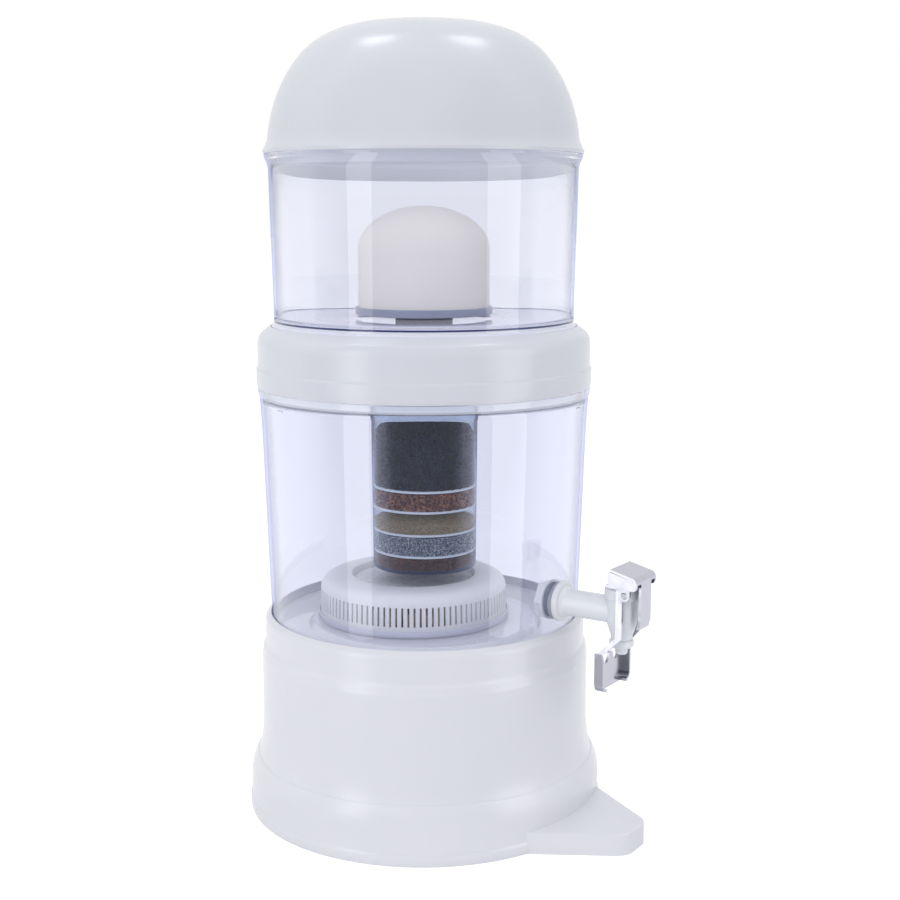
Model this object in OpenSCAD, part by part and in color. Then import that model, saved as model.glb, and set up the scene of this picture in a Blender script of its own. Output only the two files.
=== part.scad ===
// Gravity water filter with tap: a stand, two stacked clear tanks joined by a
// collar, a ceramic dome over a hanging media cartridge, a mineral case on the
// lower floor, a lever tap and a domed lid.
// The origin is the centre of the stand's foot. +Z is up, the tap points to -Y.

/* [Stand] */
// Radius of the lip round the foot
foot_r = 140.3; // [136:0.1:145]
// Height of the lip round the foot
foot_lip_h = 8; // [4:0.5:12]
// Radius of the skirt above the lip
skirt_r = 139; // [135:0.5:140]
// Height where the skirt starts to turn in
skirt_h = 24; // [19:0.5:28]
// Radius of the shoulder between skirt and band
shoulder_r = 134; // [131:0.5:137]
// Height of the shoulder
shoulder_h = 43.7; // [38:0.1:50]
// Height where the straight band starts
band_h = 77; // [60:1:90]
// Radius of the straight band
band_r = 129; // [127.5:0.5:131]
// Radius of the rim that holds the tank
rim_r = 126; // [124.5:0.5:128]
// Height of the step between band and rim
rim_step_h = 129.5; // [110:0.5:136]
// Height of the stand
stand_h = 156.8; // [150:0.2:170]
// Wall of the stand
stand_wall = 3; // [2:0.5:4]
// Depth from the rim down to the deck that carries the tank
deck_drop = 14.8; // [10:0.2:20]
// Thickness of the deck
deck_t = 3; // [2:0.5:5]
// Radius of the opening in the deck
deck_hole_r = 70; // [40:1:90]
// Number of ribs under the deck
rib_count = 12; // [6:1:16]
// Depth of the ribs under the deck
rib_depth = 30; // [15:1:45]
// Thickness of the ribs
rib_t = 2.5; // [1.5:0.5:4]

/* [Cup rest] */
// Reach of the cup rest from the stand's axis
rest_reach = 192; // [180:1:205]
// Height of the cup rest
rest_h = 16.5; // [12:0.5:19]
// Width of the cup rest where it leaves the skirt
rest_root_w = 108; // [90:1:120]
// Distance of that root from the stand's axis
rest_root_y = 128; // [120:1:130]
// Radius of the two corners at its tip
rest_corner_r = 15; // [10:0.5:20]
// Distance between the centres of the two corners
rest_tip_w = 14; // [8:1:30]

/* [Lower tank] */
// Outer radius of the lower tank near its floor
low_r = 120.9; // [119:0.1:122]
// Outer radius of the lower tank at three quarters of its height
low_mid_r = 125.3; // [123:0.1:126]
// Outer radius of the lower tank under its bead
low_top_r = 127.2; // [126.5:0.1:127.6]
// Height of the lower tank from its seat to the top of its bead
low_h = 193; // [170:1:220]
// Radius of the bead that carries the collar
bead_r = 128.4; // [127.8:0.1:129]
// Height of the bead
bead_h = 5; // [3:0.5:7]
// Outer radius of the neck inside the collar
neck_r = 125.3; // [124.5:0.1:125.5]
// Height of the neck above the bead
neck_h = 17; // [12:0.5:22]
// Wall of both tanks
tank_wall = 2.5; // [2:0.1:3.2]
// Thickness of the tank floors
floor_t = 3.5; // [2.5:0.1:5]
// Rise of the raised middle of the lower floor
floor_rise = 4.5; // [3:0.5:7]
// Radius of the raised middle of the lower floor
floor_step_r = 89; // [88.5:0.5:95]
// Number of small lugs moulded under the bead
lug_count = 3; // [2:1:6]
// Direction of the first lug, from the tap
lug_turn = 9; // [0:1:60]
// Width of a lug
lug_w = 6; // [3:0.5:10]

/* [Collar] */
// Height of the collar
collar_h = 46.5; // [42:0.5:55]
// Radius of the collar
collar_r = 128.2; // [127.9:0.1:128.8]
// Radius of the band along its lower edge
collar_band_r = 129.3; // [129:0.1:131]
// Height of the band along its lower edge
collar_band_h = 14; // [8:0.5:20]
// Height of the rounded shoulder
collar_shoulder_h = 15; // [10:0.5:20]
// Depth of the seat for the upper tank
seat_depth = 3.5; // [2:0.5:5]
// Radius of the opening in the collar
collar_hole_r = 104; // [90:1:108]
// Thickness of the collar's inner walls
collar_wall = 2.5; // [2:0.1:3]
// Depth of the lip round that opening
collar_lip_h = 12; // [8:0.5:16]
// Height of the inner skirt's lower edge above the tank's bead
collar_skirt_low = 10; // [6:0.5:14]
// Number of ribs between skirt and lip
collar_ribs = 16; // [8:1:24]
// Thickness of those ribs
collar_rib_t = 2; // [1.5:0.5:3]

/* [Upper tank] */
// Outer radius of the upper tank's foot
up_foot_r = 117; // [116:0.1:118]
// Outer radius of the upper tank above its floor
up_low_r = 115.2; // [114:0.1:116]
// Outer radius of the upper tank under its rim
up_top_r = 117.5; // [116:0.1:118.5]
// Height of the upper tank
up_h = 132; // [110:1:160]
// Height of the foot under the floor
up_foot_h = 5; // [4:0.5:8]
// Radius of the rim that carries the lid
up_rim_r = 120.5; // [119.5:0.1:121]
// Height of the rim
up_rim_h = 3; // [2:0.5:5]

/* [Lid] */
// Height of the lid
lid_h = 96; // [85:1:110]
// Radius of the lid's edge
lid_edge_r = 121.4; // [120.6:0.1:123]
// Radius of the flat crown of the lid
crown_r = 48; // [40:1:56]
// Wall of the lid
lid_wall = 2.5; // [2:0.1:3.5]
// Depth of the ring that centres the lid in the tank
lid_ring_h = 8; // [5:0.5:15]

/* [Ceramic dome] */
// Radius of the ceramic dome
dome_r = 50.5; // [42:0.5:58]
// Height of the straight part of the dome above its plate
dome_straight_h = 50; // [35:1:65]
// Height of the rounded top of the dome
dome_cap_h = 35; // [20:1:45]
// Wall of the ceramic dome
dome_wall = 6; // [4:0.5:9]
// Thickness of the plate under the dome
plate_t = 3; // [2:0.5:4]
// Height of the lip round the plate
plate_lip_h = 4.5; // [3:0.5:8]
// Radius of the threaded stem under the plate
stem_r = 8; // [6:0.5:10]
// Radius of the water way through the stem
stem_bore_r = 4; // [2.5:0.5:5]
// Thickness of the flat rubber washers
washer_t = 1.5; // [1:0.1:1.8]
// Radius of the washer above the tank's floor
dome_washer_r = 22; // [16:0.5:30]
// Radius of the washer below the tank's floor
floor_washer_r = 18; // [14:0.5:24]
// Height of the nut on the stem
nut_h = 8; // [6:0.5:10]
// Width of the nut across its flats
nut_w = 27; // [24:0.5:32]

/* [Cartridge] */
// Distance between the cartridge's bottom and the mineral case under it
cart_over_case = 8; // [4:1:14]
// Outer radius of the tube at its top
cart_top_r = 42; // [38:0.5:46]
// Outer radius of the tube at its bottom
cart_low_r = 40.5; // [36:0.5:42]
// Wall of the tube
cart_wall = 1.8; // [1.2:0.1:2.5]
// Height of the cap
cap_h = 48; // [44:1:56]
// Wall of the cap
cap_wall = 2; // [1.5:0.1:3]
// Depth of the cup in the top of the cap
cup_depth = 26; // [24:0.5:30]
// Thickness of the bottom plate
sieve_t = 3; // [2:0.5:4]
// Thickness of a separator pad
pad_t = 1.8; // [1:0.1:3]
// Depth of the mineral layer at the bottom
mineral_h = 9.7; // [6:0.1:14]
// Depth of the zeolite layer
zeolite_h = 15.1; // [10:0.1:20]
// Depth of the sand layer
sand_h = 16.2; // [10:0.1:20]
// Height of the heap on the sand
sand_heap = 4; // [1:0.5:6]
// Depth of the red ball layer
red_h = 14; // [10:0.1:20]
// Share of the room over the other layers that the carbon fills
carbon_fill = 0.536; // [0.3:0.001:0.7]
// Height of the heap on the carbon
carbon_heap = 8; // [3:0.5:12]

/* [Mineral case] */
// Radius of the case's slotted skirt
case_r = 74; // [66:0.5:75]
// Height of the case
case_h = 34; // [28:0.5:37]
// Distance of the case from the tank's axis, away from the tap
case_shift = 11; // [0:0.5:12]
// How far the tray under the case stands out round it
tray_rim = 2; // [1.5:0.1:2.5]
// Thickness of the tray
tray_t = 2; // [1.5:0.1:3]
// Height of the tray's edge
tray_h = 5.5; // [4:0.5:6]
// Depth of the recess in the top of the case
recess_h = 6; // [4:0.5:8]
// Wall of the case
case_wall = 2; // [1.5:0.1:3]
// Number of slots round the skirt
slot_count = 100; // [40:4:120]
// Width of a slot
slot_w = 1.6; // [1:0.1:1.8]
// Height of a slot
slot_h = 15; // [8:0.5:16]
// Radius of the pad in the top of the case
pad_r = 47; // [38:0.5:50]
// Radius of a mineral stone
stone_r = 7; // [5:0.1:7.4]

/* [Tap] */
// Height of the tap's axis above the tank's seat
tap_rise = 38; // [36:0.5:60]
// Distance of the tap's upright axis from the tank's axis
tap_reach = 175.6; // [172:0.2:190]
// Radius of the shank
shank_r = 10; // [8:0.5:11]
// Radius of the threaded end through the tank wall
thread_r = 8; // [7:0.5:8.5]
// Radius of the flange outside the tank
flange_r = 15.5; // [14:0.5:18]
// Thickness of that flange
flange_t = 4; // [3:0.5:6]
// Width across the flats of the nut inside the tank
tap_nut_w = 25; // [22:0.5:28]
// Thickness of that nut
tap_nut_t = 7; // [5:0.5:9]
// Thickness of the rubber between nut and tank
inner_washer_t = 4; // [3:0.5:6]
// Radius of the tap's upright body
body_r = 12; // [11.5:0.1:12.4]
// Radius of the bonnet that closes the body
bonnet_r = 13; // [12.8:0.1:13.2]
// Height of the bonnet
bonnet_h = 9.3; // [8.5:0.1:10]
// Height from the tap's axis to the bonnet's lower edge
bonnet_rise = 10.2; // [10.1:0.1:11]
// Height of the screwed neck inside the bonnet
screw_h = 3; // [2:0.1:3.2]
// Radius of the chamber in the body
chamber_r = 8; // [7:0.5:8.5]
// Radius of the water way through the shank
waterway_r = 5; // [3:0.5:6]
// Radius of the hole in the valve seat
seat_hole_r = 4; // [2.5:0.5:5]
// Radius of the tap's neck over the nozzle
tap_neck_r = 8; // [7:0.5:8.5]
// Radius of the ring on the nozzle
nozzle_r = 9; // [8:0.5:10]
// Radius of the spout
spout_r = 4.5; // [3.5:0.5:6]
// Radius of the valve stem
valve_r = 2; // [1.5:0.1:2.5]
// Radius of the rubber seal on the stem
seal_r = 6; // [5:0.5:6.5]
// Wire radius of the return spring
wire_r = 0.6; // [0.4:0.1:0.8]
// Number of turns of the return spring
spring_turns = 4; // [3:1:5]

/* [Tap lever] */
// Thickness of the lever's metal
metal_t = 2; // [1:0.1:2.2]
// Distance between the lever's two cheeks
cheek_gap = 27; // [26.6:0.1:29]
// Radius of the lever's pin
pin_r = 1.5; // [1.2:0.1:2]
// Distance of the pin in front of the tap's upright axis
pin_front = 9.1; // [8.5:0.1:10]
// Height of the pin above the tap's axis
pin_rise = 16; // [15:0.1:17]
// Depth of the lever's front plate under the pin
flap_drop = 26; // [18:0.5:27]
// Width of the lever's front plate
flap_w = 16; // [10:0.5:24]
// Width of an arm
arm_w = 5; // [4:0.5:6]
// Width of the paddle
paddle_w = 44; // [36:1:50]
// Height of the paddle
paddle_h = 26; // [20:0.5:30]
// Radius of the paddle's two lower corners
paddle_corner_r = 7; // [3:0.5:9]
// Depth of the paddle's side flanges
paddle_flange = 7; // [4:0.5:9]
// Half the width of the tooth between the paddle's notches
notch_in = 2; // [1:0.5:4]
// Distance from the middle of the paddle to the far side of a notch
notch_out = 13; // [11:0.5:15]
// Depth of the notches
notch_h = 7; // [4:0.5:9]
// Reach of the fork in front of the stem
fork_front = 7.5; // [6:0.5:9]
// Reach of the fork behind the stem
fork_back = 6.5; // [5:0.5:7]

/* [Hidden] */

$fn = 96;
// Clearance round pieces that lift off
lift_gap = 0.4;
// Clearance round turning and sliding pins
run_gap = 0.05;
// Clearance between loose pieces of one body
loose_gap = 0.3;
// How far a cutting shape runs past the face it cuts
cut = 1;

// Heights where the pieces stack
deck_z = stand_h - deck_drop;
low_floor_z = deck_z + floor_rise + floor_t;
bead_z = deck_z + low_h;
collar_top_z = bead_z + collar_h;
up_z = collar_top_z - seat_depth;
up_floor_z = up_z + up_foot_h + floor_t;
lid_z = up_z + up_h;
plate_z = up_floor_z + washer_t;
dome_z = plate_z + plate_t;
nut_z = up_z + up_foot_h - washer_t - nut_h;

// Cartridge
cap_top_z = up_z + up_foot_h - 2;
cart_z = low_floor_z + case_h + cart_over_case;
cup_floor_z = cap_top_z - cup_depth;
cup_floor_t = 3;
tube_top_z = cup_floor_z - cup_floor_t - washer_t;
cap_r = cart_top_r + loose_gap + cap_wall;
hub_h = nut_z - loose_gap - cup_floor_z;
mineral_z = cart_z + sieve_t;
pad_1_z = mineral_z + mineral_h;
zeolite_z = pad_1_z + pad_t;
pad_2_z = zeolite_z + zeolite_h;
sand_z = pad_2_z + pad_t;
pad_3_z = sand_z + sand_h;
red_z = pad_3_z + pad_t;
pad_4_z = red_z + red_h;
carbon_z = pad_4_z + pad_t;
carbon_h = carbon_fill * (tube_top_z - carbon_z);

// Tap
tap_z = deck_z + tap_rise;
tap_y = -tap_reach;
bonnet_z = tap_z + bonnet_rise;
bonnet_top_z = bonnet_z + bonnet_h;
// Radius of the screwed neck, and the underside of the bonnet's roof above it
screw_r = body_r - 2.2;
roof_z = bonnet_z + screw_h + 0.3;
pin_y = tap_y - pin_front;
pin_z = tap_z + pin_rise;
flange_y = low_r + 3.4;
valve_seat_z = tap_z - 8;
taper_top_z = tap_z - 7;
taper_low_z = tap_z - 17;
neck_low_z = tap_z - 20.6;
ring_low_z = tap_z - 26.8;
spout_low_z = tap_z - 32;
front_flat = 10.5;

// Points after a of a smooth curve from a to c that heads for b on the way
function curve(a, b, c, n = 8) =
  [for (i = [1:n]) let (t = i / n) (1 - t) * (1 - t) * a + 2 * t * (1 - t) * b + t * t * c];

// An open outline moved to its right-hand side by d, and kept off the axis
function shifted(p, d) =
  [for (i = [0:len(p) - 1])
    let (v = p[min(i + 1, len(p) - 1)] - p[max(i - 1, 0)], q = p[i] + d * [v.y, -v.x] / norm(v))
    [p[i].x == 0 ? 0 : q.x, q.y]];

function reversed(p) = [for (i = [len(p) - 1:-1:0]) p[i]];

// Outer radius of the lower tank at a height above its seat
low_mid_h = 0.78 * low_h;
low_corner_h = 15;
function low_wall_r(h) =
  low_r + (low_mid_r - low_r) * max(h - low_corner_h, 0) / (low_mid_h - low_corner_h);

// Inner radius of the cartridge tube at a height
function tube_r(z) =
  cart_low_r - cart_wall + (cart_top_r - cart_low_r) * (z - cart_z) / (tube_top_z - cart_z);

// A solid turned from points in the radius-height plane
module turned(points) {
  rotate_extrude() polygon(points);
}

// A flat ring
module ring(r_out, r_in, z, h) {
  translate([0, 0, z]) difference() {
    cylinder(r = r_out, h = h);
    translate([0, 0, -cut]) cylinder(r = r_in, h = h + 2 * cut);
  }
}

// A plate cut to an outline in the depth-height plane, from x = -w/2 to w/2
module side_plate(points, w) {
  translate([-w / 2, 0, 0]) rotate([90, 0, 90]) linear_extrude(w) polygon(points);
}

// A shape and its mirror image across the tap's plane
module both_sides() {
  children();
  mirror([1, 0, 0]) children();
}

// ---------------------------------------------------------------- stand

// Outer outline of the stand, from the foot up to the rim's bore
rim_bore_r = low_r + lift_gap;
rim_edge = 3.2;
stand_line = concat(
  [[foot_r - 2, 0], [foot_r, 2], [foot_r, foot_lip_h], [skirt_r, foot_lip_h + 1.5], [skirt_r, skirt_h]],
  curve([skirt_r, skirt_h], [skirt_r, skirt_h + 12], [shoulder_r, shoulder_h]),
  curve([shoulder_r, shoulder_h], [band_r + 0.5, shoulder_h + 8.3], [band_r, band_h]),
  [[band_r, rim_step_h - 4.5], [rim_r + 1.7, rim_step_h + 1.5], [rim_r, rim_step_h + 4.5],
    [rim_r, stand_h - 7]],
  curve([rim_r, stand_h - 7], [rim_r, stand_h - rim_edge + 1], [rim_r - 1.5, stand_h - rim_edge + 0.6], 4),
  [[rim_bore_r + 0.5, stand_h], [rim_bore_r, stand_h - 0.5]]);

// Outline of the cup rest, drawn in from its edge by inset
module rest_outline(inset) {
  root = [rest_root_w / 2, -rest_root_y];
  centre = [rest_tip_w / 2, -(rest_reach - rest_corner_r)];
  r = rest_corner_r - inset;
  to_tip = centre - root;
  side_turn = asin(rest_corner_r / norm(to_tip));
  side_dir = atan2(to_tip.y, to_tip.x) + side_turn;
  outward = [-sin(side_dir), cos(side_dir)] * (cos(side_dir) > 0 ? -1 : 1);
  start = root - inset * outward;
  touch = centre + r * outward;
  both_sides() {
    polygon([[0, 0], [start.x, 0], start, touch, centre, [centre.x, centre.y - r], [0, centre.y - r]]);
    translate(centre) circle(r = r);
  }
}

module base_stand() {
  wall_line = reversed(shifted([for (p = stand_line) if (p.y < deck_z - deck_t) p], -stand_wall));
  wall_top = wall_line[0];
  rib_in = deck_hole_r + rib_t / 2;
  rib_out = wall_top.x + 1;
  color("whitesmoke") difference() {
    union() {
      turned(concat(stand_line, [[rim_bore_r, 0]]));
      // Deck, with a hem round its opening
      ring(rim_bore_r + 1, deck_hole_r, deck_z - deck_t, deck_t);
      ring(deck_hole_r + rib_t, deck_hole_r, deck_z - deck_t - rib_depth / 3, rib_depth / 3 + deck_t);
      linear_extrude(rest_h) rest_outline(0);
    }
    // Hollow inside, open below
    difference() {
      union() {
        turned(concat([[0, -cut], [wall_line[len(wall_line) - 1].x, -cut]], reversed(wall_line),
          [[wall_top.x, deck_z - deck_t], [0, deck_z - deck_t]]));
        translate([0, 0, -cut]) linear_extrude(rest_h - stand_wall + cut) rest_outline(stand_wall);
      }
      // Ribs under the deck and the hem stay
      ring(deck_hole_r + rib_t, deck_hole_r, deck_z - deck_t - rib_depth / 3, rib_depth);
      for (i = [0:rib_count - 1]) rotate(i * 360 / rib_count + 180 / rib_count)
        rotate([90, 0, 0]) translate([0, 0, -rib_t / 2]) linear_extrude(rib_t)
          polygon([[rib_in, deck_z], [rib_in, deck_z - deck_t - rib_depth / 3],
            [rib_out, deck_z - deck_t - rib_depth], [rib_out, deck_z]]);
    }
    // Room for the tank and the opening through the deck
    translate([0, 0, deck_z]) cylinder(r = rim_bore_r, h = deck_drop + cut);
    translate([0, 0, deck_z - deck_t - cut]) cylinder(r = deck_hole_r, h = deck_drop);
  }
}

// ----------------------------------------------------------- lower tank

// Outer form of the lower tank as a full solid
module low_outside() {
  translate([0, 0, deck_z]) turned(concat(
    [[0, floor_rise], [floor_step_r - 2, floor_rise], [floor_step_r + 2, 0], [low_r - 5, 0]],
    curve([low_r - 5, 0], [low_r, 0], [low_r, 5], 4),
    [[low_r, low_corner_h], [low_mid_r, low_mid_h]],
    curve([low_mid_r, low_mid_h], [low_wall_r(low_h - 25), low_h - 25], [low_top_r, low_h - bead_h - 3], 5),
    [[bead_r, low_h - bead_h], [bead_r, low_h], [neck_r, low_h], [neck_r, low_h + neck_h - 1],
      [neck_r - 1, low_h + neck_h], [0, low_h + neck_h]]));
}

// Inner form of the lower tank as a full solid
module low_inside() {
  w = tank_wall;
  translate([0, 0, deck_z]) turned(concat(
    [[0, floor_rise + floor_t], [floor_step_r - 1, floor_rise + floor_t], [floor_step_r + 3, floor_t],
      [low_r - w - 5, floor_t]],
    curve([low_r - w - 5, floor_t], [low_r - w, floor_t], [low_r - w, floor_t + 5], 4),
    [[low_r - w, low_corner_h], [low_mid_r - w, low_mid_h]],
    curve([low_mid_r - w, low_mid_h], [low_wall_r(low_h - 25) - w, low_h - 25],
      [low_top_r - w, low_h - bead_h - 4], 5),
    [[neck_r - w, low_h - 1], [neck_r - w, low_h + neck_h + cut], [0, low_h + neck_h + cut]]));
}

module lower_tank() {
  lug_h = low_h - bead_h - 6;
  color("lavender", 0.35) difference() {
    union() {
      low_outside();
      for (i = [0:lug_count - 1]) rotate(lug_turn + i * 360 / lug_count)
        translate([-lug_w / 2, -low_top_r - 0.2, deck_z + lug_h - 1.2]) cube([lug_w, 2, 1.2]);
    }
    low_inside();
    tap_axis() cylinder(r = thread_r + loose_gap, h = low_r + flange_t + 6);
  }
}

// ------------------------------------------------------------------ tap

// Things along the shank are drawn from the tank's axis outwards
module tap_axis() {
  translate([0, 0, tap_z]) rotate([90, 0, 0]) children();
}

// Things on the upright axis of the tap
module tap_upright() {
  translate([0, tap_y, 0]) children();
}

module tap_body() {
  thread_in = nut_face_y - tap_nut_t - 2;
  color("whitesmoke") difference() {
    union() {
      tap_axis() {
        translate([0, 0, thread_in]) cylinder(r = thread_r, h = flange_y + 1 - thread_in);
        translate([0, 0, flange_y]) cylinder(r = flange_r, h = flange_t - 1);
        translate([0, 0, flange_y + flange_t - 1]) cylinder(r1 = flange_r, r2 = flange_r - 2, h = 1);
        translate([0, 0, flange_y + flange_t]) cylinder(r1 = shank_r + 1.6, r2 = shank_r, h = 3);
        translate([0, 0, flange_y]) cylinder(r = shank_r, h = tap_reach - 1 - flange_y);
      }
      tap_upright() turned([[0, neck_low_z], [tap_neck_r, neck_low_z], [tap_neck_r, taper_low_z],
        [tap_neck_r + 0.6, taper_low_z + 1], [body_r - 0.5, taper_top_z], [body_r, taper_top_z + 2],
        [body_r, bonnet_z],
        [screw_r, bonnet_z], [screw_r, bonnet_z + screw_h], [0, bonnet_z + screw_h]]);
    }
    // Water way from the tank, valve chamber and valve seat
    tap_axis() translate([0, 0, thread_in - cut]) cylinder(r = waterway_r, h = tap_reach - 2 - thread_in);
    tap_upright() {
      translate([0, 0, valve_seat_z]) cylinder(r = chamber_r, h = 30);
      translate([0, 0, neck_low_z - cut]) cylinder(r = seat_hole_r, h = 20);
      // Flat on the front of the body, under the lever's plate
      translate([-body_r, -2 * body_r - front_flat, neck_low_z - cut])
        cube([2 * body_r, 2 * body_r, bonnet_z - neck_low_z + 2 * cut]);
    }
  }
}

module tap_bonnet() {
  color("white") difference() {
    tap_upright() turned([[valve_r + run_gap, roof_z], [valve_r + run_gap, bonnet_top_z],
      [bonnet_r - 1.5, bonnet_top_z], [bonnet_r, bonnet_top_z - 1.5], [bonnet_r, bonnet_z],
      [screw_r + run_gap, bonnet_z], [screw_r + run_gap, roof_z]]);
    translate([0, pin_y, pin_z]) rotate([0, 90, 0])
      cylinder(r = pin_r + run_gap, h = 4 * bonnet_r, center = true);
  }
}

module tap_outer_washer() {
  color("gainsboro") difference() {
    tap_axis() difference() {
      translate([0, 0, low_r - 4]) cylinder(r = flange_r - 1, h = flange_y - low_r + 4);
      cylinder(r = thread_r, h = tap_reach);
    }
    low_outside($fn = 720);
  }
}

// Inner face of the rubber against the lower tank's wall
nut_face_y = low_wall_r(tap_rise) - tank_wall - inner_washer_t;

module tap_inner_washer() {
  color("dimgray") intersection() {
    tap_axis() difference() {
      translate([0, 0, nut_face_y]) cylinder(r = flange_r - 2.5, h = 2 * inner_washer_t);
      cylinder(r = thread_r, h = tap_reach);
    }
    low_inside($fn = 720);
  }
}

module tap_nut() {
  rim_t = 1.5;
  color("silver") tap_axis() difference() {
    union() {
      translate([0, 0, nut_face_y - tap_nut_t])
        cylinder(d = tap_nut_w / cos(30), h = tap_nut_t - rim_t, $fn = 6);
      translate([0, 0, nut_face_y - rim_t]) cylinder(d = tap_nut_w + 4.6, h = rim_t);
    }
    cylinder(r = thread_r, h = tap_reach);
  }
}

module tap_nozzle() {
  color("white") tap_upright() difference() {
    turned([[0, spout_low_z], [spout_r - 0.6, spout_low_z], [spout_r, spout_low_z + 1],
      [spout_r, ring_low_z], [nozzle_r - 1.5, ring_low_z], [nozzle_r, ring_low_z + 1.5],
      [nozzle_r, neck_low_z - 1], [nozzle_r - 1, neck_low_z], [0, neck_low_z]]);
    translate([0, 0, spout_low_z - cut]) cylinder(r = spout_r - 1.5, h = 30);
  }
}

// One ring of points round the spring's wire
spring_r = 4.2;
spring_low_z = valve_seat_z + 5.4;
spring_high_z = roof_z - 0.1;
wire_sides = 8;
turn_steps = 20;
function wire_ring(a, z) = [for (k = [0:wire_sides - 1])
  let (b = 360 * k / wire_sides, r = spring_r + wire_r * cos(b))
    [r * cos(a), r * sin(a), z + wire_r * sin(b)]];

module tap_spring() {
  steps = spring_turns * turn_steps;
  rise = spring_high_z - spring_low_z - 2 * wire_r;
  points = [for (i = [0:steps])
    each wire_ring(i * 360 / turn_steps, spring_low_z + wire_r + rise * i / steps)];
  sides = [for (i = [0:steps - 1], k = [0:wire_sides - 1]) let (a = i * wire_sides, j = (k + 1) % wire_sides)
    [a + k, a + wire_sides + k, a + wire_sides + j, a + j]];
  first = [for (k = [0:wire_sides - 1]) k];
  last = [for (k = [wire_sides - 1:-1:0]) steps * wire_sides + k];
  color("silver") tap_upright() polyhedron(points, concat(sides, [first, last]));
}

// Height of the fork plate that lifts the stem, and of the ball above it
fork_z = bonnet_top_z + 1.2;
fork_t = 1.5;
ball_r = 4.5;
fork_slot_r = valve_r + 0.6;
ball_z = fork_z + fork_t + 0.35 + sqrt(ball_r * ball_r - fork_slot_r * fork_slot_r);

// Top of the seal, under the collar that the spring presses on
seal_top_z = valve_seat_z + 4;
spring_seat_t = 1.2;
stem_low_z = valve_seat_z + 2.3;

module valve_stem() {
  color("gainsboro") tap_upright() {
    translate([0, 0, stem_low_z]) cylinder(r = valve_r, h = ball_z - stem_low_z);
    translate([0, 0, seal_top_z]) cylinder(r = spring_r + wire_r + 0.4, h = spring_seat_t);
    difference() {
      translate([0, 0, ball_z]) sphere(r = ball_r);
      translate([-ball_r, -ball_r, ball_z + 1.2]) cube(2 * ball_r);
    }
  }
}

module valve_seal() {
  seal_low_z = valve_seat_z + loose_gap;
  color("dimgray") tap_upright() difference() {
    turned([[0, seal_low_z], [seal_r - 1, seal_low_z], [seal_r, seal_low_z + 1], [seal_r, seal_top_z],
      [0, seal_top_z]]);
    translate([0, 0, stem_low_z]) cylinder(r = valve_r, h = 5);
  }
}

// ------------------------------------------------------------ tap lever

cheek_x = cheek_gap / 2;
hood_back_y = tap_y + 3.9;
hood_front_y = tap_y - 19.1;
hood_back_z = tap_z + 34;
hood_front_z = tap_z + 29.5;
hood_bend = 5;
cheek_low_z = tap_z + 20;
arm_y = tap_y - 5.1;
arm_low_z = tap_z - 17;
paddle_y = tap_y + 10.4;
paddle_top_z = tap_z - 32;
paddle_low_z = paddle_top_z - paddle_h;
flare_z = tap_z - 29;
paddle_x = paddle_w / 2;
flap_low_z = pin_z - flap_drop;

// Outer line of the hood's top and front plate, from back to front and down
hood_edge = [hood_front_y + hood_bend, hood_front_z + 0.6];
hood_line = concat([[hood_back_y, hood_back_z - 2], [hood_back_y - 1.5, hood_back_z], hood_edge],
  curve(hood_edge, [hood_front_y, hood_front_z], [hood_front_y, hood_front_z - hood_bend], 6));
flap_line = [[hood_front_y, flap_low_z + 6], [hood_front_y + 1.5, flap_low_z]];

module paddle_outline() {
  r = paddle_corner_r;
  difference() {
    union() {
      translate([-paddle_x, paddle_low_z + r]) square([paddle_w, paddle_h - r]);
      translate([-paddle_x + r, paddle_low_z]) square([paddle_w - 2 * r, paddle_h]);
      both_sides() translate([paddle_x - r, paddle_low_z + r]) circle(r = r);
    }
    // Two notches that leave a tooth between them
    both_sides() polygon([[notch_in, paddle_top_z + cut], [notch_in + 2.5, paddle_top_z - notch_h + 1],
      [(notch_in + notch_out) / 2, paddle_top_z - notch_h], [notch_out - 2.5, paddle_top_z - notch_h + 1],
      [notch_out, paddle_top_z + cut]]);
  }
}

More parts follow.
